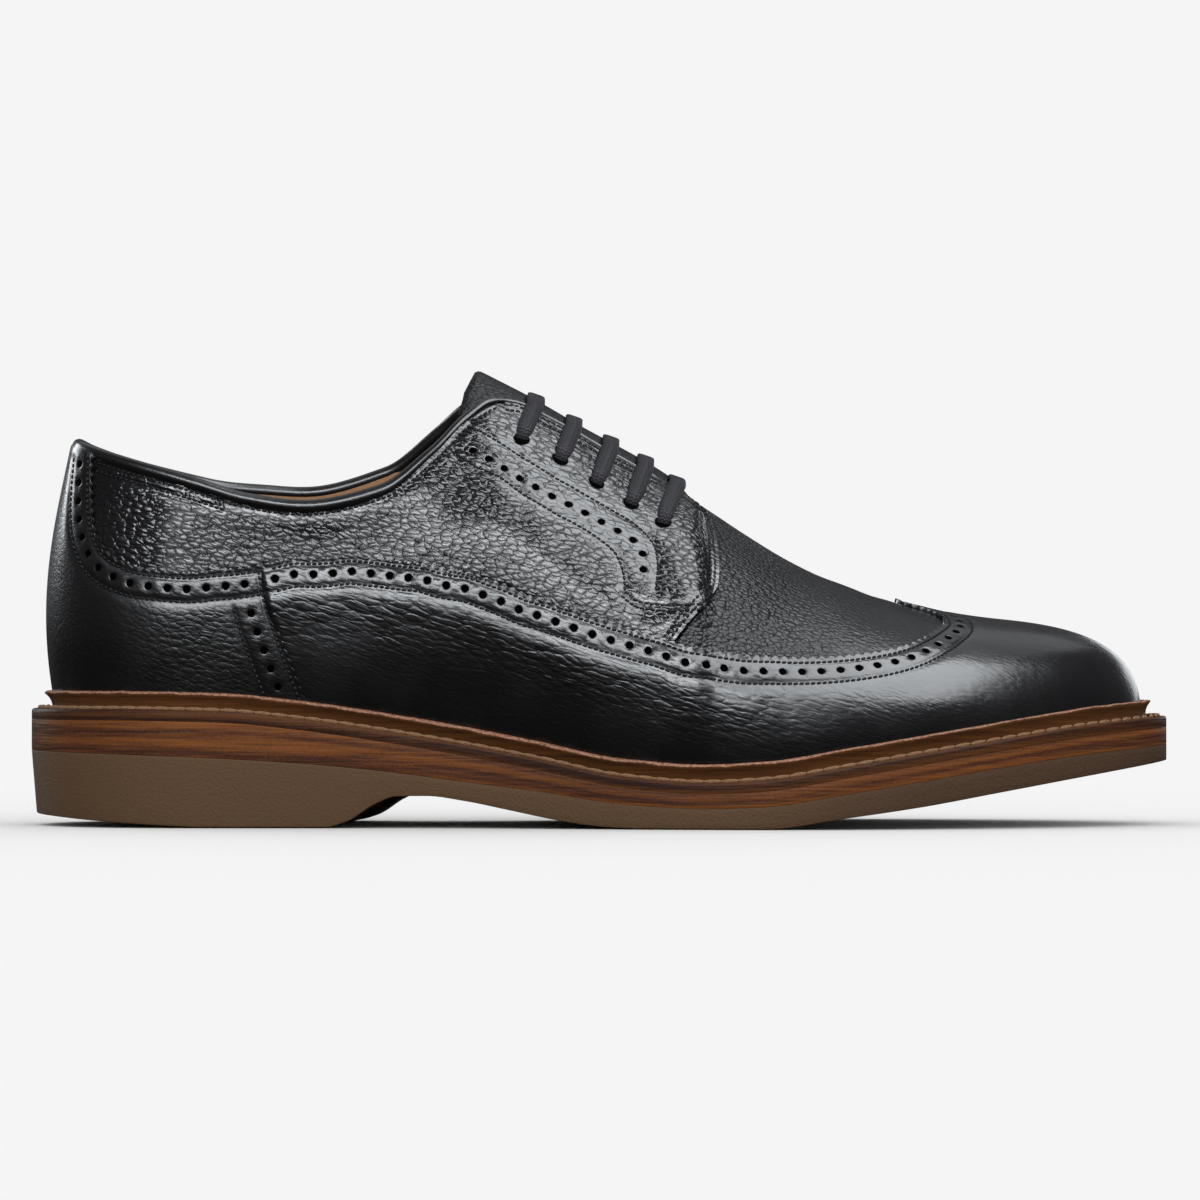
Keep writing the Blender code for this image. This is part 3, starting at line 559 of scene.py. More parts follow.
def sole_edge(tacks, stations):
    """Plan points and outward normals of one side of the sole, at stations from 0 (heel) to 4 (toe)."""
    stations = np.asarray(stations, float)
    span = np.clip(stations.astype(int), 0, len(tacks) - 2)
    u = (stations - span)[:, None]
    spot = np.stack([column(tacks, "x"), column(tacks, "y")], 1)
    angle = np.radians(column(tacks, "heading"))
    aim = np.stack([np.cos(angle), np.sin(angle)], 1)
    start, end = spot[span], spot[span + 1]
    leave = start + aim[span] * column(tacks, "pull_out")[span, None]
    arrive = end - aim[span + 1] * column(tacks, "pull_in")[span + 1, None]
    point = bezier(start, leave, arrive, end, u)
    along = (leave - start) * (1 - u) ** 2 + 2 * (arrive - leave) * u * (1 - u) + (end - arrive) * u * u
    normal = unit(np.stack([-along[:, 1], along[:, 0]], 1)) * np.sign(tacks[1].y)
    return point, normal


class Side:
    """One side of the last: ribs that rise from the feather line to the top edge."""

    def __init__(self, tacks):
        self.tacks = tacks
        self.sign = np.sign(tacks[1].y)

    def controls(self, stations):
        edge, normal = sole_edge(self.tacks, stations)
        plan = edge - normal * WELT_MARGIN
        foot = np.column_stack([plan, read(SOLE_LEVELS, "ledge", "x", plan[:, 0]) + FOOT_GAP])
        top_z = read(TOP_EDGE, "z", "station", stations)
        if self.sign > 0:
            top_z = top_z + read(TOP_EDGE, "medial_rise", "station", stations)
        top_x = read(TOP_EDGE, "x", "station", stations)
        ridge_y = read(TOP_EDGE, "ridge_y", "station", stations)
        half = read(TOP_EDGE, "half", "station", stations)
        top = np.column_stack([top_x, ridge_y + self.sign * half, top_z])
        lean = np.radians(read(RIBS, "lean", "station", stations))[:, None]
        slope = np.radians(read(RIBS, "slope", "station", stations))[:, None]
        rise = read(RIBS, "rise", "station", stations)[:, None]
        reach = read(RIBS, "reach", "station", stations)[:, None]
        up = np.array([0.0, 0.0, 1.0])
        height = (top - foot)[:, 2:]
        outward = np.column_stack([normal, np.zeros(len(plan))])
        low = foot + rise * height * (np.cos(lean) * up + np.sin(lean) * outward)
        spread = foot - top
        spread[:, 2] = 0.0
        breadth = np.linalg.norm(spread, axis=1, keepdims=True)
        spread = unit(spread)
        ridge_fall = np.gradient(column(TOP_EDGE, "z"), column(TOP_EDGE, "x"))
        spread[:, 2] = spread[:, 0] * track(column(TOP_EDGE, "x"), ridge_fall, top_x)
        size = np.cos(slope) * breadth + np.sin(slope) * height
        high = top + reach * size * (np.cos(slope) * spread - np.sin(slope) * up)
        return foot, low, high, top

    def surface(self, stations, rows):
        """Points of the last's skin at stations and at rows from 0 (feather line) to 1 (top edge)."""
        shape = np.shape(stations)
        flat, rows = np.ravel(stations), np.ravel(rows)[:, None]
        return bezier(*self.controls(flat), rows).reshape(*shape, 3)

    def lifted(self, stations, rows, lift):
        """The skin moved outwards by lift along its own normal."""
        stations, rows = np.asarray(stations, float), np.asarray(rows, float)
        before, after = np.clip(stations - NUDGE, 0, 4), np.clip(stations + NUDGE, 0, 4)
        below, above = np.clip(rows - NUDGE, 0, 1), np.clip(rows + NUDGE, 0, 1)
        along = self.surface(after, rows) - self.surface(before, rows)
        across = self.surface(stations, above) - self.surface(stations, below)
        ridge = (rows >= 1) & (stations > 1) & (read(TOP_EDGE, "half", "station", stations) <= 0)
        ridge_normal = along[ridge][:, [2, 1, 0]] * np.array([-1.0, 0.0, 1.0])
        tips = (stations <= 0) | (stations >= 4)
        along[tips] = 0.0
        along[tips, 1] = np.where(stations[tips] <= 0, self.sign, -self.sign)
        normal = np.cross(across, along) * self.sign
        normal[tips, 1] = 0.0
        normal[ridge] = ridge_normal
        return self.surface(stations, rows) + unit(normal) * np.asarray(lift)[..., None]


LATERAL, MEDIAL = Side(LATERAL_EDGE), Side(MEDIAL_EDGE)


def creased(station, rows, medial):
    """How far the creases push the skin in or out at each place."""
    rise = np.zeros(station.shape)
    flat = np.stack([station, rows], -1) * PATTERN_SCALE
    for crease in CREASES:
        start = np.array([crease.station, crease.row]) * PATTERN_SCALE
        run = np.array([crease.end_station, crease.end_row]) * PATTERN_SCALE - start
        share = np.clip((flat - start) @ run / (run @ run), 0, 1)
        off = flat - start - share[..., None] * run
        trough = np.exp(-(off**2).sum(-1) / crease.reach**2)
        beside = off - RIDGE_OFF * crease.reach * np.array([-run[1], run[0]]) / np.linalg.norm(run)
        ridge = RIDGE_SHARE * np.exp(-(beside**2).sum(-1) / crease.reach**2)
        rise += crease.depth * (ridge - trough) * np.isin(medial, crease.sides)
    return rise


def skin(loop, rows, lift):
    """Skin points on the loop: 0 to 4 is lateral, 4 to 8 medial back to the heel, below 0 medial."""
    loop, rows = np.broadcast_arrays(np.asarray(loop, float), np.asarray(rows, float))
    medial = (loop > 4) | (loop < 0)
    station = np.where(loop > 4, 8 - loop, np.abs(loop))
    lift = lift + creased(station, rows, medial)
    points = np.empty((*loop.shape, 3))
    for side, mine in ((LATERAL, ~medial), (MEDIAL, medial)):
        if mine.any():
            points[mine] = side.lifted(station[mine], rows[mine], lift[mine])
    return points


def over(places, lift=0.0):
    """Skin points of (loop, row) places."""
    return skin(places[..., 0], np.clip(places[..., 1], 0, 1), lift)


def slopes(places):
    """At each place: the skin point, the moves per loop and per row, and the outward normal."""
    loop, row = places[:, 0], np.clip(places[:, 1], 0, 1)
    up, down = np.minimum(row + NUDGE, 1), np.maximum(row - NUDGE, 0)
    per_row = (skin(loop, up, 0) - skin(loop, down, 0)) / (up - down)[:, None]
    per_loop = (skin(loop + NUDGE, row, 0) - skin(loop - NUDGE, row, 0)) / (2 * NUDGE)
    point = skin(loop, row, 0)
    return point, per_loop, per_row, unit(skin(loop, row, 1) - point)


def moved(places, per_loop, per_row, shift):
    """Places after a small move over the skin, given as a vector in millimetres."""
    a, b, c = (per_loop**2).sum(-1), (per_loop * per_row).sum(-1), (per_row**2).sum(-1)
    p, q = (per_loop * shift).sum(-1), (per_row * shift).sum(-1)
    change = np.stack([c * p - b * q, a * q - b * p], -1) / (a * c - b * b)[..., None]
    return places + change


def aside(line, distance):
    """A line moved sideways over the skin, to the left of its run as seen from outside."""
    point, per_loop, per_row, out = slopes(line)
    run = unit(np.gradient(point, axis=0))
    left = np.cross(out, run) * np.reshape(distance, (-1, 1))
    return moved(line, per_loop, per_row, left)


def trimmed(line):
    """A line cut off where it passes the ridge."""
    keep = line[:, 1] <= 1
    if keep.all():
        return line
    last = int(np.argmin(keep))
    if last == 0:
        return line[keep]
    a, b = line[last - 1], line[last]
    cross = a + (b - a) * (1 - a[1]) / (b[1] - a[1])
    return np.concatenate([line[:last], [cross]])


def offset(line, distance):
    """A seam line moved sideways in short moves, so that it keeps its distance round curves."""
    steps = max(1, int(abs(distance)))
    for _ in range(steps):
        line = trimmed(aside(line, distance / steps))
    return line


def reach_of(line):
    """Distance along a line over the skin."""
    return run_length(over(line))


def spaced(line, gap):
    """Places along a line, an even gap apart, the first one half a gap in."""
    reach = reach_of(line)
    count = max(2, int(round(reach[-1] / gap)))
    return placed(line, reach, (np.arange(count) + 0.5) * reach[-1] / count)


def fair(places):
    """A fair line through a few places, with points about a gap apart."""
    places = np.asarray(places, float)
    reach = reach_of(places)
    return smooth(places, reach, max(3, int(reach[-1] / FAIR_GAP)))


class Pattern:
    """Finds the loop and row of a place on one side of the last, as seen from the side or from above."""

    def __init__(self, side):
        self.side = side
        self.medial = side.sign > 0
        count, tall = PATTERN_SAMPLES
        stations, rows = np.linspace(0, 4, count), np.linspace(0, 1, tall)
        self.stations, self.rows = np.meshgrid(stations, rows, indexing="ij")
        self.points = side.surface(self.stations, self.rows)
        self.off_ridge = np.abs(self.points[..., 1] - read(TOP_EDGE, "ridge_y", "station", self.stations))

    def loop(self, station):
        return 8 - station if self.medial else station

    def settle(self, misfit, seen, target):
        """The sample that fits best, then two small corrections between the samples."""
        i = np.unravel_index(np.argmin(misfit), misfit.shape)
        place = np.array([self.stations[i], self.rows[i]])
        for _ in range(2):
            tries = place + np.array([[0, 0], [NUDGE, 0], [-NUDGE, 0], [0, NUDGE], [0, -NUDGE]])
            tries = np.clip(tries, 0, [4, 1])
            got = seen(self.side.surface(tries[:, 0], tries[:, 1]), tries[:, 0])
            if tries[1, 0] - tries[2, 0] < NUDGE or tries[3, 1] - tries[4, 1] < NUDGE:
                break
            slope = np.column_stack(
                [
                    (got[1] - got[2]) / (tries[1, 0] - tries[2, 0]),
                    (got[3] - got[4]) / (tries[3, 1] - tries[4, 1]),
                ]
            )
            step = np.linalg.lstsq(slope, target - got[0], rcond=None)[0]
            place = np.clip(place + np.clip(step, -SETTLE_STEP, SETTLE_STEP), 0, [4, 1])
        return np.array([self.loop(place[0]), place[1]])

    def from_side(self, x, z):
        misfit = (self.points[..., 0] - x) ** 2 + (self.points[..., 2] - z) ** 2
        return self.settle(misfit, lambda p, s: p[:, [0, 2]], np.array([x, z]))

    def from_above(self, x, off):
        misfit = (self.points[..., 0] - x) ** 2 + (self.off_ridge - off) ** 2
        misfit = np.where(self.rows < TOE_TOP_ROW, np.inf, misfit)

        def seen(p, s):
            return np.column_stack([p[:, 0], np.abs(p[:, 1] - read(TOP_EDGE, "ridge_y", "station", s))])

        return self.settle(misfit, seen, np.array([x, off]))

    def side_line(self, places):
        return fair([self.from_side(x, z) for x, z in places])

    def wing_line(self):
        places = [self.from_side(x, z) for x, z in WING_SIDE_SEAM]
        places += [self.from_above(x, off) for x, off in WING_TOE_SEAM]
        places[-1][1] = 1.0
        return fair(places)

    def top_line(self, first, last, row, count):
        stations = np.linspace(first, last, count)
        return np.column_stack([self.loop(stations), np.full(count, row)])


def deselect():
    bpy.ops.object.select_all(action="DESELECT")


def make_piece(name, points, faces, finish, nodes=(), sharp=40.0, marks=None):
    """A closed mesh from points in millimetres, welded and faced outwards, riding on the shoe."""
    deselect()
    mesh = bpy.data.meshes.new(name)
    places = (np.asarray(points, float) - [0.0, SOLE_MIDDLE, 0.0]) * MM
    mesh.from_pydata(places.tolist(), [], faces)
    for label, values in (marks or {}).items():
        attribute = mesh.attributes.new(label, "FLOAT", "POINT")
        attribute.data.foreach_set("value", np.asarray(values, np.float32))
    piece = bpy.data.objects.new(name, mesh)
    bpy.context.scene.collection.objects.link(piece)
    bpy.context.view_layer.objects.active = piece
    piece.select_set(True)
    bpy.ops.object.mode_set(mode="EDIT")
    bpy.ops.mesh.select_all(action="SELECT")
    bpy.ops.mesh.remove_doubles(threshold=WELD)
    bpy.ops.mesh.normals_make_consistent(inside=False)
    bpy.ops.object.mode_set(mode="OBJECT")
    bpy.ops.object.shade_smooth_by_angle(angle=math.radians(sharp))
    mesh.materials.append(finish)
    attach(piece, "root")
    if nodes:
        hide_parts(*nodes)


def both_sides(faces, shift):
    """Faces of an outer skin, and the same ones turned round for the inner skin."""
    return faces + [tuple(i + shift for i in reversed(f)) for f in faces]


def grid_faces(columns, rows, closed):
    """Quads of a grid whose points run up each column in turn."""
    faces = []
    for c in range(columns if closed else columns - 1):
        n = (c + 1) % columns
        for r in range(rows - 1):
            a, b = c * rows + r, n * rows + r
            faces.append((a, b, b + 1, a + 1))
    return faces


def ring_faces(columns, sides, closed):
    """Quads of a tube whose rings follow each other, with its two end faces where it is open."""
    faces = []
    for c in range(columns if closed else columns - 1):
        n = (c + 1) % columns
        for r in range(sides):
            s = (r + 1) % sides
            faces.append((c * sides + r, c * sides + s, n * sides + s, n * sides + r))
    if not closed:
        faces.append(tuple(range(sides - 1, -1, -1)))
        faces.append(tuple((columns - 1) * sides + r for r in range(sides)))
    return faces


def nearest(points, targets):
    """Distance from each point to the nearest of the target points."""
    tree = KDTree(len(targets))
    for i, target in enumerate(targets):
        tree.insert(target, i)
    tree.balance()
    return np.array([tree.find(point)[2] for point in points])


def inside(places, polygon):
    """Which places lie inside a closed polygon, by crossings of a level ray."""
    found = np.zeros(len(places), bool)
    x, y = places.T
    for a, b in zip(polygon, np.roll(polygon, -1, 0)):
        if a[1] == b[1]:
            continue
        crosses = (a[1] > y) != (b[1] > y)
        found ^= crosses & (x < (b[0] - a[0]) * (y - a[1]) / (b[1] - a[1]) + a[0])
    return found


def pinked(line, depth):
    """A cut edge with small saw teeth: points at each valley and tooth, teeth standing out to the right."""
    reach = reach_of(line)
    count = len(TOOTH_SHAPE) * max(2, int(round(reach[-1] / TOOTH_PITCH))) + 1
    places = placed(line, reach, np.linspace(0, reach[-1], count))
    tooth = TOOTH_SHAPE[np.arange(count) % len(TOOTH_SHAPE)]
    tooth[[0, -1]] = 0.0
    return aside(places, depth * (0.5 - tooth))


def hole_rings(centres, radius):
    """Two rings of places round each hole: its mouth and the start of the turned-in edge."""
    _, per_loop, per_row, _ = slopes(centres)
    first = unit(per_loop)
    second = unit(per_row - first * (per_row * first).sum(1, keepdims=True))
    rings = []
    for size in (radius, radius + HOLE_TURN):
        turn = np.arange(HOLE_SIDES) * 2 * np.pi / HOLE_SIDES
        shift = (np.cos(turn)[:, None, None] * first + np.sin(turn)[:, None, None] * second) * size
        rings.append(moved(centres, per_loop, per_row, shift))
    return [np.swapaxes(ring, 0, 1) for ring in rings]


class Panel:
    """A leather panel laid on the last: its outline, edges, holes, seams and how high it stands."""

    def __init__(self, top, thick, roll, drop, grain=lambda places: np.ones(len(places))):
        self.top = top
        self.grain = grain
        self.thick = thick
        self.roll = roll
        self.drop = drop
        self.outline = []
        self.bevels = []
        self.holes = []
        self.seams = []
        self.welded = []

    def edge(self, line, pinking=0.0, cut=True):
        """One stretch of the outline, with the panel on its left."""
        outer = pinked(line, pinking) if pinking else line
        self.outline.append(outer[:-1])
        if cut:
            for share in BEVEL_SHARES:
                self.bevels.append(aside(outer, self.roll * share)[1:-1])

    def ridge(self, line):
        """A stretch of the outline on the ridge, welded to the same panel on the other side."""
        self.outline.append(line[:-1])
        self.welded.append(line)

    def punch(self, centres, radius):
        self.holes.append((centres, radius))

    def sew(self, line):
        self.seams.append(line)

    def mesh_places(self):
        """Places of the mesh: outline, hole rings, seam guides and an even grid between them."""
        outline = np.concatenate(self.outline)
        fixed, rings, mouths = [outline], [], []
        count = len(outline)
        for centres, radius in self.holes:
            mouth, turn = hole_rings(centres, radius)
            mouths.extend(mouth)
            for ring in mouth:
                rings.append(np.arange(count, count + HOLE_SIDES))
                fixed.append(ring)
                count += HOLE_SIDES
            fixed.append(turn.reshape(-1, 2))
            count += turn.size // 2
        for bevel in self.bevels:
            keep = bevel[inside(bevel, outline)]
            fixed.append(keep)
            count += len(keep)
        fixed = np.concatenate(fixed)
        loose = []
        for seam in self.seams:
            for shift in (0.0, GROOVE_REACH, -GROOVE_REACH):
                loose.append(aside(spaced(seam, GUIDE_GAP), shift))
        low, high = outline.min(0), outline.max(0)
        loop, row = np.meshgrid(
            np.arange(low[0], high[0], MESH_STEP),
            np.arange(low[1], high[1], MESH_STEP * PATTERN_SCALE[0] / PATTERN_SCALE[1]),
            indexing="ij",
        )
        loose.append(np.column_stack([loop.ravel(), row.ravel()]))
        kept = [fixed]
        for batch, gap in zip(loose, [GUIDE_CLEARANCE] * (len(loose) - 1) + [MESH_CLEARANCE]):
            batch = batch[(batch[:, 1] < 1) & inside(batch, outline)]
            for mouth in mouths:
                batch = batch[~inside(batch, mouth)]
            solid = np.concatenate(kept) * PATTERN_SCALE
            solid = np.column_stack([solid, np.zeros(len(solid))])
            flat = np.column_stack([batch * PATTERN_SCALE, np.zeros(len(batch))])
            kept.append(batch[nearest(flat, solid) > gap])
        return np.concatenate(kept), len(outline), rings

    def build(self, name, finish, slot, nodes=()):
        places, rim, rings = self.mesh_places()
        spots = [Vector(place * PATTERN_SCALE) for place in places]
        around = [(i, (i + 1) % rim) for i in range(rim)]
        for ring in rings:
            around += list(zip(ring.tolist(), np.roll(ring, -1).tolist()))
        _, _, faces, source, _, _ = delaunay_2d_cdt(spots, around, [list(range(rim))], 1, CUT_TOLERANCE)
        kept = [min(group) for group in source]
        ring_of = {}
        for number, ring in enumerate(rings):
            for i in ring:
                ring_of[i] = number
        faces = [tuple(kept[i] for i in face) for face in faces]
        faces = [f for f in faces if len({ring_of.get(i, -1 - i) for i in f}) > 1]
        top = self.top(places)
        points = over(places)
        edge_line = places[:rim][self.is_cut(rim, places)]
        near = nearest(points, over(edge_line))
        calm = near
        roll = np.clip(1 - near / self.roll, 0, 1)
        top = top - self.drop * (1 - np.sqrt(np.clip(1 - roll**2, 0, 1)))
        if self.seams:
            sewn = np.concatenate([over(spaced(seam, GUIDE_GAP / 2)) for seam in self.seams])
            near = nearest(points, sewn)
            calm = np.minimum(calm, near)
            top = top - GROOVE_DEPTH * np.exp(-((near / GROOVE_REACH) ** 2))
        for centres, radius in self.holes:
            near = nearest(points, over(centres)) - radius
            calm = np.minimum(calm, near)
            top = top - HOLE_DROP * np.clip(1 - near / HOLE_TURN, 0, 1)
        base = np.minimum(self.top(places) - self.thick, top - THINNEST)
        shift = len(places)
        mesh = np.concatenate([over(places, top), over(places, base)])
        used = {}
        for face in faces:
            for a, b in zip(face, face[1:] + face[:1]):
                used[(a, b)] = used.get((a, b), 0) + 1
        weld = self.weld_keys(places)
        open_edges = [(a, b) for a, b in used if (b, a) not in used and not (a in weld and b in weld)]
        faces = both_sides(faces, shift) + [(b, a, a + shift, b + shift) for a, b in open_edges]
        grain = self.grain(places) * (CALM_GRAIN + (1 - CALM_GRAIN) * ease(calm / CALM_REACH))
        make_piece(name, mesh, faces, finish, nodes, marks={"grain": np.tile(grain, 2)})

    def shade_holes(self, name):
        """Matte black discs a little below the holes: painted shade, darker than the black leather below,
        so that they look punched right through into shadow.
        """
        points, faces = [], []
        turn = np.arange(HOLE_SIDES) * 2 * np.pi / HOLE_SIDES
        disc = np.column_stack([np.cos(turn), np.sin(turn)])
        for centres, radius in self.holes:
            _, per_loop, _, out = slopes(centres)
            first = unit(per_loop)
            second = np.cross(out, first)
            depth = self.top(centres) - self.thick
            for lift in (SHADE_DISC_TOP, SHADE_DISC_BASE):
                middle = over(centres, depth + lift)
                ring = disc[None, :, :1] * first[:, None] + disc[None, :, 1:] * second[:, None]
                points.append(middle[:, None] + ring * (radius + SHADE_DISC_LAP))
        for batch in range(0, len(points), 2):
            start = sum(len(p) for p in points[:batch]) * HOLE_SIDES
            count = len(points[batch])
            for k in range(count):
                low = start + k * HOLE_SIDES
                high = low + count * HOLE_SIDES
                faces.append(tuple(range(low, low + HOLE_SIDES)))
                faces.append(tuple(range(high + HOLE_SIDES - 1, high - 1, -1)))
                for i in range(HOLE_SIDES):
                    n = (i + 1) % HOLE_SIDES
                    faces.append((low + i, high + i, high + n, low + n))
        flat = np.concatenate([p.reshape(-1, 3) for p in points])
        make_piece(name, flat, faces, HOLE_SHADE_FINISH)

    def weld_keys(self, places):
        """Indices of the outline places that lie on a welded ridge."""
        if not self.welded:
            return set()
        ridge = {tuple(np.round(place, 6)) for line in self.welded for place in line}
        return {i for i, place in enumerate(places) if tuple(np.round(place, 6)) in ridge}

    def is_cut(self, rim, places):
        weld = self.weld_keys(places)
        return np.array([i not in weld for i in range(rim)])


def new_finish(name, colour, roughness, specular=0.5):
    """A material with one Principled shader, its colour in linear light."""
    finish = bpy.data.materials.new(name)
    finish.use_nodes = True
    shader = finish.node_tree.nodes["Principled BSDF"]
    shader.inputs["Base Color"].default_value = (*colour, 1.0)
    shader.inputs["Roughness"].default_value = roughness
    shader.inputs["Specular IOR Level"].default_value = specular
    return finish, finish.node_tree, shader


def feed(tree, socket, value):
    """Links another socket into a socket, or sets a plain value on it."""
    if isinstance(value, bpy.types.NodeSocket):
        tree.links.new(value, socket)
    else:
        socket.default_value = value


def add_node(tree, kind, **values):
    """A node with its settings, and its inputs from sockets or plain values."""
    node = tree.nodes.new(kind)
    for name, value in values.items():
        if name in node.inputs:
            feed(tree, node.inputs[name], value)
        else:
            setattr(node, name, value)
    return node


def maths(tree, operation, *values, kind="ShaderNodeMath"):
    """A maths node whose inputs are sockets or plain values; returns its output."""
    node = add_node(tree, kind, operation=operation)
    for socket, value in zip(node.inputs, values):
        feed(tree, socket, value)
    return node.outputs[0]


def object_place(tree):
    return tree.nodes.new("ShaderNodeTexCoord").outputs["Object"]


def axes(tree, vector):
    return add_node(tree, "ShaderNodeSeparateXYZ", Vector=vector).outputs


def mark(tree, name):
    """A value that the mesh carries from point to point."""
    return add_node(tree, "ShaderNodeAttribute", attribute_name=name).outputs["Fac"]


def stretched(tree, vector, scale):
    return add_node(tree, "ShaderNodeMapping", Vector=vector, Scale=scale).outputs["Vector"]


def slanted(tree, vector):
    """Places turned in the side view, so that the grain runs down towards the toe."""
    turn = add_node(tree, "ShaderNodeVectorRotate", rotation_type="Y_AXIS", Angle=GRAIN_SLANT)
    tree.links.new(vector, turn.inputs["Vector"])
    return turn.outputs["Vector"]


def ramp(tree, value, low, high, to_low=0.0, to_high=1.0):
    """A value eased from one range into another."""
    node = add_node(tree, "ShaderNodeMapRange", interpolation_type="SMOOTHSTEP", Value=value)
    for name, number in zip(("From Min", "From Max", "To Min", "To Max"), (low, high, to_low, to_high)):
        node.inputs[name].default_value = number
    return node.outputs["Result"]


def noise(tree, vector, scale, detail=2.0):
    return add_node(tree, "ShaderNodeTexNoise", Vector=vector, Scale=scale, Detail=detail).outputs


def cells(tree, vector, feature, scale, **values):
    """Distances in a pattern of cells."""
    node = add_node(tree, "ShaderNodeTexVoronoi", feature=feature, Vector=vector, Scale=scale, **values)
    return node.outputs["Distance"]


def blend(tree, share, first, second):
    """A colour between two colours, each a socket or a plain colour."""
    ends = [end if isinstance(end, bpy.types.NodeSocket) else (*end, 1.0) for end in (first, second)]
    mix = add_node(tree, "ShaderNodeMix", data_type="RGBA", Factor=share, A=ends[0], B=ends[1])
    return mix.outputs["Result"]


def raise_bump(tree, shader, height, depth):
    bump = add_node(tree, "ShaderNodeBump", Strength=1.0, Distance=depth, Height=height)
    tree.links.new(bump.outputs["Normal"], shader.inputs["Normal"])


def new_group(name, ins, outs):
    """A shader node group with its sockets; returns the group, its inputs and its outputs."""
    group = bpy.data.node_groups.new(name, "ShaderNodeTree")
    for direction, sockets in (("INPUT", ins), ("OUTPUT", outs)):
        for label, kind in sockets:
            group.interface.new_socket(label, in_out=direction, socket_type=kind)
    return group, group.nodes.new("NodeGroupInput").outputs, group.nodes.new("NodeGroupOutput").inputs


# Grain: scales of its patterns, and heights and places as shares of a cell
WANDER_SCALE = 300.0
WANDER_REACH = (0.0016, 0.0016, 0.0016)
PEBBLE_STRETCH = (0.42, 0.8, 1.0)
PEBBLE_SCALE = 720.0
DOME_POWER = 1.8
DOME_RISE = 1.3
VALLEY_SHAPE = (0.0, 0.22, 0.0, 0.24)
VALLEY_MASK = (0.0, 0.14, 1.0, 0.0)
PORE_SCALE = 1500.0
PORE_SMOOTHNESS = 0.2
SWELL_SCALE = 150.0
SWELL_RISE = 0.3
GRAIN_SLANT = math.radians(-18)
TOE_FADE = (0.04, 0.09)
TOE_GRAIN = 0.2
HEEL_FADE = (-0.135, -0.1, 0.35, 1.0)
PATCH_SCALE = 60.0
PATCH_DETAIL = 4.0
PATCH_RANGE = (0.3, 0.7)
PATCH_GLOSS = 0.03
PATCH_DULL = 0.05
VALLEY_DULL = 0.12
COAT_ROUGHNESS = 0.14
BLACK = (0.0022, 0.002, 0.0023)


def make_grain():
    """Pebbled grain: rounded cells drawn out along the shoe, with sharp valleys and fine pores."""
    number, vector = "NodeSocketFloat", "NodeSocketVector"
    group, given, out = new_group(
        "pebble_grain",
        [("Vector", vector), ("Pebble", number), ("Pores", number)],
        [("Height", number), ("Valley", number)],
    )
    wander = noise(group, given["Vector"], WANDER_SCALE)["Color"]
    roaming = maths(
        group, "MULTIPLY_ADD", wander, WANDER_REACH, given["Vector"], kind="ShaderNodeVectorMath"
    )
    lying = stretched(group, roaming, PEBBLE_STRETCH)
    dome = maths(group, "POWER", cells(group, lying, "F1", PEBBLE_SCALE), DOME_POWER)
    crack = cells(group, lying, "DISTANCE_TO_EDGE", PEBBLE_SCALE)
    valley = ramp(group, crack, *VALLEY_SHAPE)
    pebbles = maths(group, "SUBTRACT", valley, maths(group, "MULTIPLY", dome, DOME_RISE))
    pore = cells(group, lying, "SMOOTH_F1", PORE_SCALE, Smoothness=PORE_SMOOTHNESS)
    tall = maths(group, "MULTIPLY", pebbles, given["Pebble"])
    fine = maths(group, "MULTIPLY", pore, given["Pores"])
    rolling = maths(group, "MULTIPLY", noise(group, given["Vector"], SWELL_SCALE)["Fac"], SWELL_RISE)
    group.links.new(maths(group, "ADD", maths(group, "SUBTRACT", tall, fine), rolling), out["Height"])
    deep = ramp(group, crack, *VALLEY_MASK)
    group.links.new(maths(group, "MULTIPLY", deep, given["Pebble"]), out["Valley"])
    return group


GRAIN = make_grain()


def make_leather(name, roughness, pebble, pores, size, depth, coat=0.0, specular=0.5, marked=True):
    """Black leather: the grain is strong along the sides and fine on the toe and the heel."""
    finish, tree, shader = new_finish(name, BLACK, roughness, specular)
    place = object_place(tree)
    along = axes(tree, place)["X"]
    toe = ramp(tree, along, *TOE_FADE, pebble, pebble * TOE_GRAIN)
    strength = maths(tree, "MULTIPLY", toe, ramp(tree, along, *HEEL_FADE))
    if marked:
        strength = maths(tree, "MULTIPLY", strength, mark(tree, "grain"))
    grain = tree.nodes.new("ShaderNodeGroup")
    grain.node_tree = GRAIN
    grain.inputs["Pores"].default_value = pores
    tree.links.new(stretched(tree, slanted(tree, place), size), grain.inputs["Vector"])
    tree.links.new(strength, grain.inputs["Pebble"])
    raise_bump(tree, shader, grain.outputs["Height"], depth)
    patches = noise(tree, place, PATCH_SCALE, PATCH_DETAIL)["Fac"]
    gloss = ramp(tree, patches, *PATCH_RANGE, roughness - PATCH_GLOSS, roughness + PATCH_DULL)
    valley = grain.outputs["Valley"]
    dull = maths(tree, "MULTIPLY", valley, VALLEY_DULL)
    tree.links.new(maths(tree, "ADD", gloss, dull), shader.inputs["Roughness"])
    if coat:
        shine = maths(tree, "MULTIPLY", maths(tree, "SUBTRACT", 1.0, valley), coat)
        tree.links.new(shine, shader.inputs["Coat Weight"])
        shader.inputs["Coat Roughness"].default_value = COAT_ROUGHNESS
    return finish


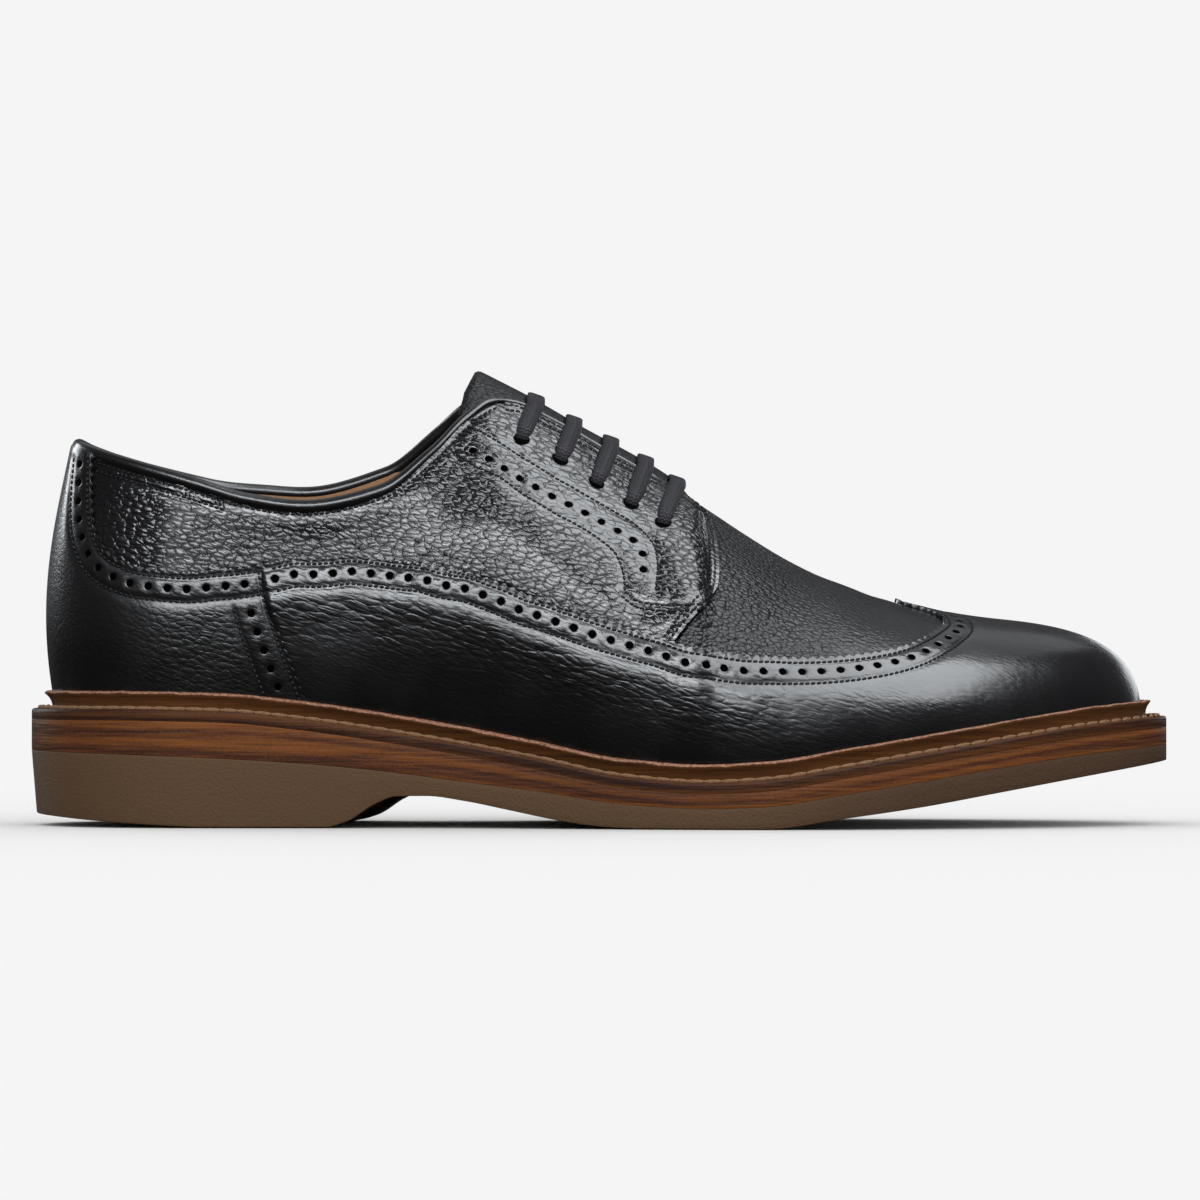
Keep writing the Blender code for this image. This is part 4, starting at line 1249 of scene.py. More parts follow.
QUARTER_LEATHER = make_leather(
    "pebbled_quarter_leather",
    roughness=0.2,
    pebble=1.0,
    pores=0.06,
    size=(1.12, 1.06, 1.06),
    depth=0.00038,
    coat=0.4,
)
WING_LEATHER = make_leather(
    "pebbled_wing_leather",
    roughness=0.26,
    pebble=0.34,
    pores=0.16,
    size=(0.6, 0.9, 0.95),
    depth=0.00032,
    coat=0.3,
)
COUNTER_LEATHER = make_leather(
    "smooth_counter_leather",
    roughness=0.3,
    pebble=0.4,
    pores=0.12,
    size=(1.2, 1.2, 1.2),
    depth=0.00022,
    coat=0.3,
)
VAMP_LEATHER = make_leather(
    "fine_vamp_leather",
    roughness=0.3,
    pebble=0.55,
    pores=0.12,
    size=(1.9, 1.4, 1.4),
    depth=0.0004,
    specular=0.32,
    marked=False,
)
TONGUE_LEATHER = make_leather(
    "soft_tongue_leather",
    roughness=0.42,
    pebble=0.6,
    pores=0.15,
    size=(1.6, 1.4, 1.4),
    depth=0.0003,
    specular=0.25,
    marked=False,
)

# Thread, lining and sole: colours in linear light, scales of their patterns and how they mix
THREAD_BLACK = (0.004, 0.004, 0.0045)
# Painted shade: near-black matte colour of the discs that darken the bottoms of punched holes
HOLE_SHADE_BLACK = (0.001, 0.001, 0.001)
LINING_TAN = (0.17, 0.085, 0.038)
WELT_THREAD_TAN = (0.125, 0.066, 0.033)
PLAIN_DETAIL = 4.0
PLAIN_SPECULAR = 0.2
STREAK_DETAIL = 3.0
BAND_SCALE = 9.0
STREAK_STRETCH = (60.0, 60.0, 1600.0)
SPECK_SCALE = 1500.0
STREAK_SHARE = 0.45
SPECK_SHARE = 0.25
BURNISH_RANGE = (0.62, 1.12)
BURNISH_ROUGHNESS = 0.5
BURNISH_SPECULAR = 0.08
BURNISH_DEPTH = 0.0002
MIDSOLE_DARK = (0.026, 0.0085, 0.005)
MIDSOLE_LIGHT = (0.1, 0.032, 0.0065)
WELT_DARK = (0.014, 0.0048, 0.003)
WELT_LIGHT = (0.052, 0.0175, 0.004)
WELT_LEDGE = (0.075, 0.03, 0.0095)
STAIN_STRETCH = (40.0, 40.0, 900.0)
STAIN_RANGE = (0.3, 0.7, 0.45, 1.0)
SPLIT_EDGE = (0.19, 0.1, 0.07)
FUZZ_SCALE = 1300.0
FUZZ_SHARE = 1.5
FRAY_RANGE = (1.3, 2.0)
# Taupe rubber, with painted shade that darkens it from the ball to the toe, where the sole faces down into
# shade
RUBBER_HEEL = (0.052, 0.0265, 0.0108)
RUBBER_TOE_SHADED = (0.034, 0.0162, 0.0068)
RUBBER_PAINTED_SHADE_SPAN = (0.02, 0.09)


def make_plain(name, colour, roughness, scale, depth):
    """A plain finish with a fine even texture."""
    finish, tree, shader = new_finish(name, colour, roughness, PLAIN_SPECULAR)
    raise_bump(tree, shader, noise(tree, object_place(tree), scale, PLAIN_DETAIL)["Fac"], depth)
    return finish


def make_burnished(name, dark, light, spread):
    """Edge-burnished stacked leather: streaks along the edge, from dark to orange brown."""
    finish, tree, shader = new_finish(name, dark, BURNISH_ROUGHNESS, BURNISH_SPECULAR)
    place = object_place(tree)
    apart = axes(tree, place)
    layered = add_node(
        tree,
        "ShaderNodeCombineXYZ",
        X=maths(tree, "MULTIPLY", apart["X"], BAND_SCALE),
        Y=maths(tree, "MULTIPLY", apart["Y"], BAND_SCALE),
        Z=maths(tree, "MULTIPLY", mark(tree, "height"), spread),
    )
    bands = noise(tree, layered.outputs["Vector"], 1.0, STREAK_DETAIL)["Fac"]
    streaks = noise(tree, stretched(tree, place, STREAK_STRETCH), 1.0, STREAK_DETAIL)["Fac"]
    specks = noise(tree, place, SPECK_SCALE)["Fac"]
    tone = maths(tree, "MULTIPLY_ADD", streaks, STREAK_SHARE, bands)
    tone = maths(tree, "MULTIPLY_ADD", specks, SPECK_SHARE, tone)
    colour = blend(tree, ramp(tree, tone, *BURNISH_RANGE), dark, light)
    tree.links.new(colour, shader.inputs["Base Color"])
    raise_bump(tree, shader, streaks, BURNISH_DEPTH)
    return finish, tree, shader, colour


def make_welt_finish():
    """The welt's burnished edge, brown ledge and pale fuzzy split edge."""
    finish, tree, shader, edge = make_burnished("split_welt_leather", WELT_DARK, WELT_LIGHT, spread=2.2)
    place = object_place(tree)
    stain = noise(tree, stretched(tree, place, STAIN_STRETCH), 1.0, STREAK_DETAIL)["Fac"]
    stained = maths(tree, "MULTIPLY", mark(tree, "ledge"), ramp(tree, stain, *STAIN_RANGE))
    brown = blend(tree, stained, edge, WELT_LEDGE)
    fuzz = noise(tree, place, FUZZ_SCALE, STREAK_DETAIL)["Fac"]
    frayed = maths(tree, "MULTIPLY_ADD", fuzz, FUZZ_SHARE, mark(tree, "pale"))
    split = blend(tree, ramp(tree, frayed, *FRAY_RANGE), brown, SPLIT_EDGE)
    tree.links.new(split, shader.inputs["Base Color"])
    return finish


def make_rubber():
    """Taupe rubber with a fine even texture, and painted shade that darkens it from the ball to the toe."""
    finish = make_plain("taupe_sole_rubber", RUBBER_HEEL, roughness=0.75, scale=1400.0, depth=0.00025)
    tree = finish.node_tree
    # Painted shade: the rubber gets darker towards the toe
    painted_toe_shade = ramp(tree, axes(tree, object_place(tree))["X"], *RUBBER_PAINTED_SHADE_SPAN)
    colour = blend(tree, painted_toe_shade, RUBBER_HEEL, RUBBER_TOE_SHADED)
    tree.links.new(colour, tree.nodes["Principled BSDF"].inputs["Base Color"])
    return finish


# Lace weave: turns of the ribs across it and of the twill along each millimetre, and their heights
LACE_COLOUR = (0.012, 0.0115, 0.0145)
LACE_ROUGHNESS = 0.55
RIB_TURNS = 22.0
TWILL_TURNS = 7.5
TWILL_SWAY = 1.6
RIB_RISE = 0.5
TWILL_RISE = 0.4
WEAVE_DEPTH = 0.00014


def make_lace_finish():
    """Flat braided lace: ribs along it with a twill across them."""
    finish, tree, shader = new_finish("braided_charcoal_lace", LACE_COLOUR, LACE_ROUGHNESS, PLAIN_SPECULAR)
    ribs = maths(tree, "SINE", maths(tree, "MULTIPLY", mark(tree, "across"), RIB_TURNS))
    slant = maths(tree, "MULTIPLY", mark(tree, "along"), TWILL_TURNS)
    twill = maths(tree, "SINE", maths(tree, "MULTIPLY_ADD", ribs, TWILL_SWAY, slant))
    height = maths(tree, "MULTIPLY_ADD", twill, TWILL_RISE, maths(tree, "MULTIPLY", ribs, RIB_RISE))
    raise_bump(tree, shader, height, WEAVE_DEPTH)
    return finish


THREAD = make_plain("black_thread", THREAD_BLACK, roughness=0.45, scale=4000.0, depth=0.0001)
LACE = make_lace_finish()
LINING = make_plain("tan_lining_leather", LINING_TAN, roughness=0.55, scale=900.0, depth=0.0002)
WELT = make_welt_finish()
WELT_THREAD = make_plain("tan_welt_thread", WELT_THREAD_TAN, roughness=0.8, scale=1800.0, depth=0.0005)
MIDSOLE = make_burnished("burnished_midsole_leather", MIDSOLE_DARK, MIDSOLE_LIGHT, spread=3.2)[0]
RUBBER = make_rubber()
# Painted shade for the bottoms of punched holes: matte black, without any shine
HOLE_SHADE_FINISH = new_finish("painted_hole_shade_finish", HOLE_SHADE_BLACK, 1.0, 0.0)[0]

PATTERNS = Pattern(LATERAL), Pattern(MEDIAL)


def stitch_model():
    """One stitch: a small ball of thread drawn out and flattened underneath, in its own millimetres."""
    deselect()
    bpy.ops.mesh.primitive_uv_sphere_add(segments=6, ring_count=5, radius=0.5)
    ball = bpy.context.object
    bpy.ops.object.mode_set(mode="EDIT")
    bpy.ops.transform.rotate(value=math.radians(90), orient_axis="Y", center_override=(0, 0, 0))
    bpy.ops.object.mode_set(mode="OBJECT")
    points = np.array([tuple(v.co) for v in ball.data.vertices])
    faces = [tuple(f.vertices) for f in ball.data.polygons]
    bpy.data.meshes.remove(ball.data)
    return points, faces


STITCH_POINTS, STITCH_FACES = stitch_model()


def lay_stitches(spots, runs, outs, size, slant):
    """Copies of the stitch at spots, each turned a little off its run."""
    turn = math.radians(slant)
    sides = np.cross(outs, runs)
    along = runs * math.cos(turn) + sides * math.sin(turn)
    across = np.cross(outs, along)
    length, width, height = size
    copies = (
        spots[:, None]
        + along[:, None] * STITCH_POINTS[None, :, :1] * length
        + across[:, None] * STITCH_POINTS[None, :, 1:2] * width
        + outs[:, None] * STITCH_POINTS[None, :, 2:] * height
    )
    count = len(STITCH_POINTS)
    faces = [tuple(i + k * count for i in f) for k in range(len(spots)) for f in STITCH_FACES]
    return copies.reshape(-1, 3), faces


class Thread:
    """Gathers the stitches of one panel's seams into one piece."""

    def __init__(self):
        self.points = []
        self.faces = []
        self.count = 0

    def add(self, points, faces):
        self.points.append(points)
        self.faces += [tuple(i + self.count for i in f) for f in faces]
        self.count += len(points)

    def sew(self, line, height):
        """A row of stitches along a line over the skin, seated in the groove of its panel."""
        places = spaced(line, STITCH_PITCH)
        _, _, _, outs = slopes(places)
        spots = over(places, height(places) - GROOVE_DEPTH + STITCH_SEAT)
        runs = unit(np.gradient(over(places), axis=0))
        size = STITCH_LENGTH, STITCH_WIDTH, STITCH_HEIGHT
        self.add(*lay_stitches(spots, runs, outs, size, STITCH_SLANT))

    def build(self, name):
        points = np.concatenate(self.points)
        make_piece(name, points, self.faces, THREAD, sharp=THREAD_SHARP)


def sew(panel, thread, line, start=0):
    """A seam of a panel: its groove and, from a start on, its stitches."""
    panel.sew(line)
    thread.sew(line[start:], panel.top)


def finish_panel(panel, thread, name, finish):
    """The panel's leather, the painted-shade discs in its holes and its stitches."""
    panel.build(name + "_panel", finish, "black_leather", [name])
    panel.shade_holes(name + "_painted_hole_shades")
    thread.build(name + "_stitches")


class Seams:
    """The seam lines of one side, each drawn from the heel towards the toe or from the top down."""

    def __init__(self, pattern):
        self.pattern = pattern
        self.down = 1.0 if pattern.medial else -1.0
        self.wing = pattern.wing_line()
        self.counter_top = pattern.side_line(COUNTER_TOP_SEAM)
        self.counter_front = pattern.side_line(COUNTER_FRONT_SEAM)
        self.flap = pattern.side_line(FLAP_SEAM)
        self.eyestay = [pattern.side_line(line) for line in (EYESTAY_UPPER_STITCH, EYESTAY_LOWER_STITCH)]
        self.eyestay_holes = pattern.side_line(EYESTAY_HOLE_LINE)
        self.bar_tack = pattern.side_line(BAR_TACK)

    def below(self, line, distance):
        """A line moved down the panel from the top edge, or towards the heel if it runs down."""
        return offset(line, self.down * distance)

    def back(self, line):
        """A line of the medial side on the loop that goes round the heel."""
        return line - [8.0, 0.0] if self.pattern.medial else line


SEAMS = [Seams(pattern) for pattern in PATTERNS]


def ahead_of(places, line):
    """How far each place lies towards the toe from a line that runs down the side, in millimetres."""
    order = np.argsort(line[:, 1])
    at = np.interp(places[:, 1], line[order, 1], line[order, 0])
    return (places[:, 0] - at) * PATTERN_SCALE[0]


WING_EDGES = [over(seam.wing) for seam in SEAMS]


def below_wing(places):
    """Distance from the pinked edge of the wing on the same side."""
    points = over(places)
    return np.where(places[:, 0] < 4, nearest(points, WING_EDGES[0]), nearest(points, WING_EDGES[1]))


def wing_grain(places):
    """The grain of the wing fades towards the welt."""
    return 1 - WING_GRAIN_FADE * ease((below_wing(places) - WING_GRAIN) / (WING_SMOOTH - WING_GRAIN))


def wing_bulge(places):
    """The wing swells softly below its stitched band and falls back towards the welt."""
    points, below = over(places), below_wing(places)
    fade = ease((BULGE_END - points[:, 0]) / BULGE_FADE)
    return BULGE_RISE * fade * np.exp(-(((below - BULGE_MIDDLE) / BULGE_REACH) ** 2))


def wing_height(places):
    """The wing lies on the quarter, comes down onto the vamp and slips under the counter."""
    onto_vamp = ease((over(places)[:, 0] - VAMP_START) / VAMP_BLEND)
    height = WING_TOP + (WING_OVER_VAMP - WING_TOP) * onto_vamp + wing_bulge(places)
    lateral, medial = (seam.counter_front for seam in SEAMS)
    ahead = np.where(places[:, 0] < 4, ahead_of(places, lateral), -ahead_of(places, medial))
    return WING_UNDER + (height - WING_UNDER) * ease((ahead + TUCK) / TUCK)


def foot_line(first, last):
    count = int(abs(last - first) * PATTERN_SCALE[0] / FOOT_STEP)
    return np.column_stack([np.linspace(first, last, count), np.full(count, FOOT_ROW)])


def clipped(line):
    """A line that runs down, cut off at the foot."""
    return line[line[:, 1] > FOOT_ROW]


def make_wing():
    """Wing: from the peak on the toe along both sides to the counter, with its pinked and punched band."""
    panel, thread = Panel(wing_height, WING_THICK, PINKED_ROLL, PINKED_DROP, wing_grain), Thread()
    lateral, medial = SEAMS
    rear = []
    for seam in SEAMS:
        tucked = clipped(seam.below(seam.counter_front, TUCK))
        rear.append(tucked[TUCK_START:])
        for distance in (EDGE_STITCH, BAND_STITCH):
            sew(panel, thread, seam.below(seam.wing, distance), WING_STITCH_START)
        panel.punch(spaced(seam.below(seam.wing, BAND_HOLES), HOLE_PITCH), HOLE_RADIUS)
    panel.edge(foot_line(rear[0][-1, 0], rear[1][-1, 0]), cut=False)
    panel.edge(np.concatenate([rear[1][::-1], medial.wing[:1]]), cut=False)
    panel.edge(medial.wing, TOOTH_DEPTH)
    stations = np.linspace(lateral.wing[-1, 0], 4.0, RIDGE_STEPS)
    ridge = np.concatenate([8 - stations, stations[-2::-1]])
    panel.ridge(np.column_stack([ridge, np.ones(len(ridge))]))
    panel.edge(lateral.wing[::-1], TOOTH_DEPTH)
    panel.edge(np.concatenate([lateral.wing[:1], rear[0]]), cut=False)
    finish_panel(panel, thread, "wing", WING_LEATHER)


make_wing()


def counter_height(places):
    """The counter lies on the quarter and the wing, at one height."""
    return np.full(len(places), COUNTER_TOP)


def make_counter():
    """Counter: round the heel below its pinked seam, with a narrow strap up the back."""
    panel, thread = Panel(counter_height, COUNTER_THICK, PINKED_ROLL, PINKED_DROP), Thread()
    fronts, tops = [], []
    for seam in SEAMS:
        front, top = clipped(seam.back(seam.counter_front)), seam.back(seam.counter_top)
        fronts.append(front)
        tops.append(top)
        for distance in (EDGE_STITCH, BAND_STITCH):
            line = seam.below(top, distance)
            sew(panel, thread, line[np.abs(line[:, 0]) > STRAP_MIDDLE])
        for distance in (EDGE_STITCH, FRONT_BAND_STITCH):
            sew(panel, thread, clipped(seam.below(front, distance))[int(distance) :])
        holes = spaced(seam.below(top, BAND_HOLES)[:-HOLE_ROW_END], HOLE_PITCH)
        panel.punch(holes[np.abs(holes[:, 0]) > STRAP_MIDDLE], HOLE_RADIUS)
        front_holes = clipped(seam.below(front, FRONT_BAND_HOLES))[FRONT_HOLES_START:]
        panel.punch(spaced(front_holes, HOLE_PITCH), HOLE_RADIUS)
    panel.edge(foot_line(fronts[1][-1, 0], fronts[0][-1, 0]), cut=False)
    panel.edge(fronts[0][::-1], TOOTH_DEPTH)
    panel.edge(tops[0][::-1], TOOTH_DEPTH)
    panel.edge(np.linspace(tops[0][0], tops[1][0], STRAP_STEPS), cut=False)
    panel.edge(tops[1], TOOTH_DEPTH)
    panel.edge(fronts[1], TOOTH_DEPTH)
    finish_panel(panel, thread, "counter", COUNTER_LEATHER)


def tongue_crown(x):
    """Points along the crown of the tongue."""
    return np.column_stack([x, read(TONGUE, "ridge_y", "x", x), read(TONGUE, "crown", "x", x)])


def arched(near, far, crown, share):
    """Points of an arch from near over the crown to far, at shares of the way across."""
    rise = crown - (near + far) / 2
    share = np.reshape(share, (-1, 1))
    bow = 1 - np.abs(2 * share - 1) ** ARCH_FULLNESS
    return near[..., None, :] + (far - near)[..., None, :] * share + rise[..., None, :] * bow


def lace_line(side, x, rows):
    """Places on one side of the last where the plane of a lace bar crosses the given rows."""
    crown = tongue_crown(np.array([x]))[0]
    at, height = np.meshgrid(THROAT_STATIONS, rows, indexing="ij")
    off = (side.surface(at, height) - crown) @ LACE_PLANE
    cross = np.array([np.interp(0.0, line, THROAT_STATIONS) for line in off.T])
    return np.column_stack([8 - cross if side.sign > 0 else cross, rows])


def eyelets(side):
    return np.concatenate(
        [lace_line(side, x, np.array([row - EYELET_DROP])) for x, row in zip(LACE_CROWNS, EYELET_ROWS)]
    )


def quarter_height(seam):
    """The quarter slips under the wing and the counter and thickens to its folded front edge."""
    rear = seam.back(seam.counter_top)[:-1] + [8.0 * seam.pattern.medial, 0]
    border = np.concatenate([rear, seam.wing])
    far = 8 + BEYOND_HEEL if seam.pattern.medial else -BEYOND_HEEL
    polygon = np.concatenate([border, [[border[-1, 0], -1], [far, -1], [far, border[0, 1]]]])
    border_points = over(border[border[:, 1] <= 1])
    flap_points = over(np.concatenate([seam.flap, facing_line(seam.pattern)]))

    def height(places):
        points = over(places)
        ahead = nearest(points, border_points) * np.where(inside(places, polygon), -1.0, 1.0)
        rise = (FLAP_TOP - QUARTER_TOP) * np.exp(-((nearest(points, flap_points) / FLAP_REACH) ** 2))
        full = QUARTER_TOP + rise
        return QUARTER_UNDER + (full - QUARTER_UNDER) * ease((ahead + TUCK) / TUCK)

    return height


def facing_line(pattern):
    """The front edge of the facing, from the flap up to the top of the throat."""
    first = pattern.from_side(*FLAP_SEAM[0])
    station = 8 - first[0] if pattern.medial else first[0]
    line = pattern.top_line(station, FACING_STATION, FACING_ROW, FACING_STEPS)
    blend = np.sqrt(np.linspace(0, 1, FACING_STEPS))
    line[:, 1] = first[1] + (FACING_ROW - first[1]) * blend
    return line


def make_quarter(seam, name):
    """Quarter: from the back seam over the ankle to the flap that laces over the tongue."""
    pattern = seam.pattern
    height = quarter_height(seam)
    panel, thread = Panel(height, QUARTER_THICK, FOLDED_ROLL, FOLDED_DROP), Thread()
    tucked_counter = seam.below(seam.counter_top, TUCK)
    tucked_wing = seam.below(seam.wing, TUCK)
    turn = seam.flap[-1, 0]
    under = tucked_wing[(tucked_wing[:, 0] - turn) * seam.down > 0]
    heel_side = tucked_counter[np.abs(tucked_counter[:, 0] - 8 * pattern.medial) > STRAP_MIDDLE]
    facing = facing_line(pattern)
    collar = pattern.top_line(FACING_STATION, STRAP_MIDDLE, COLLAR_ROW, COLLAR_EDGE_STEPS)
    stretches = [
        (heel_side, False),
        (under, False),
        (seam.flap[::-1], True),
        (facing, True),
        (collar, False),
    ]
    if pattern.medial:
        stretches = [(line[::-1], cut) for line, cut in reversed(stretches)]
    for line, cut in stretches:
        panel.edge(line, cut=cut)
    front = np.concatenate([facing[::-1], seam.flap[1:]])
    for distance in FLAP_STITCHES:
        sew(panel, thread, offset(front, seam.down * distance))
    for line in (*seam.eyestay, seam.bar_tack, seam.below(seam.bar_tack, BAR_TACK_GAP)):
        sew(panel, thread, line)
    top = pattern.top_line(COLLAR_STITCH_START, FACING_STATION, 1.0, COLLAR_SEAM_STEPS)
    for distance, last in COLLAR_STITCHES:
        line = aside(top, seam.down * distance)
        station = np.abs(line[:, 0] - 8 * pattern.medial)
        sew(panel, thread, line[station < last])
    panel.punch(spaced(seam.eyestay_holes, HOLE_PITCH), HOLE_RADIUS)
    panel.punch(eyelets(pattern.side), EYELET_RADIUS)
    finish_panel(panel, thread, name, QUARTER_LEATHER)


make_counter()
make_quarter(SEAMS[0], "quarter_lateral")
make_quarter(SEAMS[1], "quarter_medial")


def make_shell(name, grid, lifts, throat_row, finish):
    """A skin all round the last between two heights, open underneath and at the collar and throat."""
    columns, rows = grid
    loop = np.arange(columns) * 8 / columns
    tall = np.linspace(0, 1, rows)
    at, height = np.meshgrid(loop, tall, indexing="ij")
    station = np.minimum(at, 8 - at)
    throat = station < THROAT_END - THROAT_MARGIN
    top_row = COLLAR_ROW + (throat_row - COLLAR_ROW) * ease((station - LINING_TURN) / LINING_FALL)
    height = np.where(throat, height * top_row, height)
    outer, inner = (skin(at, height, lift).reshape(-1, 3) for lift in lifts)
    shift = columns * rows
    faces = both_sides(grid_faces(columns, rows, True), shift)
    for c in range(columns):
        n = (c + 1) % columns
        a, b = c * rows, n * rows
        faces.append((b, a, a + shift, b + shift))
        if throat[c, 0] or throat[n, 0]:
            a, b = a + rows - 1, b + rows - 1
            faces.append((a, b, b + shift, a + shift))
    make_piece(name, np.concatenate([outer, inner]), faces, finish, ["upper"])


def make_binding():
    """Rolled edge over the collar and, slimmer, along both facings down to the foot of the throat."""
    loop = np.linspace(-BINDING_END, BINDING_END, BINDING_STEPS)
    places = np.column_stack([loop, np.full(len(loop), BINDING_ROW)])
    point, _, per_row, out = slopes(places)
    up = unit(per_row)
    facing = ease((np.abs(loop) - BINDING_TURN) / BINDING_BLEND)[:, None]
    shift, drop, wide, tall = (a + (b - a) * facing for a, b in zip(COLLAR_ROLL, FACING_ROLL))
    middle = point + out * shift - up * drop
    full = ease((BINDING_END - np.abs(loop)) / BINDING_TAPER)
    ends = (BINDING_SLIM + (1 - BINDING_SLIM) * full)[:, None, None]
    turn = np.linspace(0, 2 * np.pi, BINDING_SIDES, endpoint=False)[None, :, None]
    ring = np.cos(turn) * (out * wide)[:, None] + np.sin(turn) * (up * tall)[:, None]
    points = (middle[:, None] + ring * ends).reshape(-1, 3)
    faces = ring_faces(len(loop), BINDING_SIDES, False)
    make_piece("collar_binding", points, faces, COUNTER_LEATHER)


def tongue_section(stations, low_rows):
    """Lines across the tongue: up under the lateral facing, over the crown, down under the medial one."""
    share = np.linspace(0, 1, TONGUE_SIDE_STEPS)
    rows = low_rows[:, None] + (1 - low_rows[:, None]) * share
    depth = -TONGUE_UNDER - (TONGUE_BELOW - TONGUE_UNDER) * ease((1 - rows) / (1 - LINING_ROW))
    at = np.broadcast_to(stations[:, None], rows.shape)
    near, far = skin(at, rows, depth), skin(8 - at, rows, depth)
    way = np.linspace(0, 1, TONGUE_ARCH_STEPS)
    arch = arched(near[:, -1], far[:, -1], tongue_crown(near[:, -1, 0]), way)
    return np.concatenate([near[:, :-1], arch, far[:, -2::-1]], axis=1)


def make_tongue():
    """Tongue: an arched strip under the facings that swells up between them and stands out at the top."""
    throat = np.linspace(TONGUE_TURN, TONGUE_END, TONGUE_STEPS)
    body = tongue_section(throat, np.full(len(throat), TONGUE_LOW_ROW))
    share = np.linspace(1, 0, TONGUE_TIP_STEPS)[:-1]
    tip_rows = TONGUE_LOW_ROW + (TONGUE_TIP_ROW - TONGUE_LOW_ROW) * share
    tip = tongue_section(np.full(len(share), TONGUE_TURN), tip_rows)
    first = body[0, body.shape[1] // 2]
    crown = tongue_crown(first[0] + (TONGUE[0].x - first[0]) * share)
    slim = (1 - TONGUE_TIP_SLIM * share)[:, None]
    tip[..., 1] = crown[:, None, 1] + (tip[..., 1] - crown[:, None, 1]) * slim
    tip[..., 0] -= TONGUE_TIP_SLANT * share[:, None] * (first[2] - tip[..., 2])
    tip += (crown - first)[:, None] * [1.0, 0.0, 1.0]
    under = body[-1] + np.arange(1, TONGUE_DIVE_STEPS)[:, None, None] * TONGUE_DIVE
    top = np.concatenate([tip, body, under])
    outward = unit(np.cross(np.gradient(top, axis=1), np.gradient(top, axis=0)))
    outward *= np.sign(outward[0, top.shape[1] // 2, 2])
    count, wide = top.shape[:2]
    from_tip = np.arange(count)[:, None] / TONGUE_ROLL_ROWS
    from_side = np.minimum(np.arange(wide), np.arange(wide)[::-1]) / TONGUE_ROLL_COLUMNS
    edge = np.clip(np.minimum(from_tip, from_side), 0, 1)
    roll = TONGUE_ROLL * (1 - np.sqrt(1 - (1 - edge) ** 2))
    upper = top - outward * (TONGUE_THICK * roll)[..., None]
    lower = top - outward * (TONGUE_THICK * (1 - roll))[..., None]
    shift = count * wide
    faces = both_sides(grid_faces(count, wide, False), shift)
    border = [(c * wide, (c + 1) * wide) for c in range(count - 1)]
    border += [((c + 1) * wide + wide - 1, c * wide + wide - 1) for c in range(count - 1)]
    border += [(r + 1, r) for r in range(wide - 1)]
    border += [(shift - wide + r, shift - wide + r + 1) for r in range(wide - 1)]
    faces += [(b, a, a + shift, b + shift) for a, b in border]
    points = np.concatenate([upper.reshape(-1, 3), lower.reshape(-1, 3)])
    make_piece("tongue_leather", points, faces, TONGUE_LEATHER, ["tongue"])


def squared(wave, power):
    """A sine or cosine pushed out towards a square wave."""
    return np.sign(wave) * np.abs(wave) ** power


def make_lace(number, x, eyelet_row):
    """One bar of flat lace: from the lateral eyelet over facing and tongue into the medial eyelet."""
    rest = np.linspace(eyelet_row + LACE_REST, FACING_ROW, LACE_REST_STEPS)
    rows = np.concatenate([eyelet_row + LACE_ENTRY, rest])
    halves, wides = [], []
    for seam, height in zip(SEAMS, QUARTER_HEIGHTS):
        places = lace_line(seam.pattern.side, x, rows)
        lift = height(places) + LACE_THICK / 2 + LACE_LIFT
        lift[: len(LACE_DIVE)] -= LACE_DIVE
        below = over(places[:1], lift[:1] - LACE_HIDDEN)
        halves.append(np.concatenate([below, over(places, lift)]))
        run = unit(np.gradient(over(places), axis=0))
        _, _, _, out = slopes(places)
        wide = unit(np.cross(run, out)) * (1 if seam.pattern.medial else -1)
        wides.append(np.concatenate([wide[:1], wide]))
    crown = tongue_crown(np.array([x]))[0]
    top = crown + np.array([0.0, 0.0, LACE_THICK / 2 + LACE_LIFT + LACE_SLACK])
    arch = arched(halves[0][-1], halves[1][-1], top, LACE_ARCH)
    path = np.concatenate([halves[0], arch, halves[1][::-1]])
    wide = np.concatenate([wides[0], np.broadcast_to(LACE_PLANE, arch.shape), wides[1][::-1]])
    wide = wide * np.sign(wide @ LACE_PLANE)[:, None]
    bend = np.column_stack([path, wide])
    bend = smooth(bend, run_length(bend), LACE_STEPS)
    path, wide = bend[:, :3], unit(bend[:, 3:])
    run = unit(np.gradient(path, axis=0))
    wide = unit(wide - run * (wide * run).sum(1, keepdims=True))
    out = np.cross(wide, run)
    share = np.linspace(0, 1, LACE_STEPS)
    full = ease((np.minimum(share, 1 - share) - LACE_END) / LACE_END_REACH)
    slim = LACE_END_SLIM + (1 - LACE_END_SLIM) * full
    swell = 1 + LACE_END_SWELL * (1 - slim)
    turn = np.linspace(0, 2 * np.pi, LACE_SIDES, endpoint=False)
    flat = squared(np.cos(turn), LACE_SQUARE) * LACE_WIDTH / 2
    tall = squared(np.sin(turn), LACE_ROUND) * LACE_THICK / 2
    points = (
        path[:, None]
        + wide[:, None] * (flat * slim[:, None])[..., None]
        + out[:, None] * (tall * swell[:, None])[..., None]
    )
    make_piece(
        f"lace_{number}",
        points.reshape(-1, 3),
        ring_faces(LACE_STEPS, LACE_SIDES, False),
        LACE,
        [f"lace_bar_{number}"],
        LACE_SHARP,
        {"along": np.repeat(run_length(path), LACE_SIDES), "across": np.tile(np.cos(turn), LACE_STEPS)},
    )


QUARTER_HEIGHTS = [quarter_height(seam) for seam in SEAMS]
make_shell("vamp_shell", VAMP_GRID, VAMP_LIFTS, COLLAR_ROW, VAMP_LEATHER)
make_shell("lining_shell", LINING_GRID, LINING_LIFTS, LINING_ROW, LINING)
make_binding()
make_tongue()
for lace_number, (lace_x, lace_row) in enumerate(zip(LACE_CROWNS, EYELET_ROWS), 1):
    make_lace(lace_number, lace_x, lace_row)


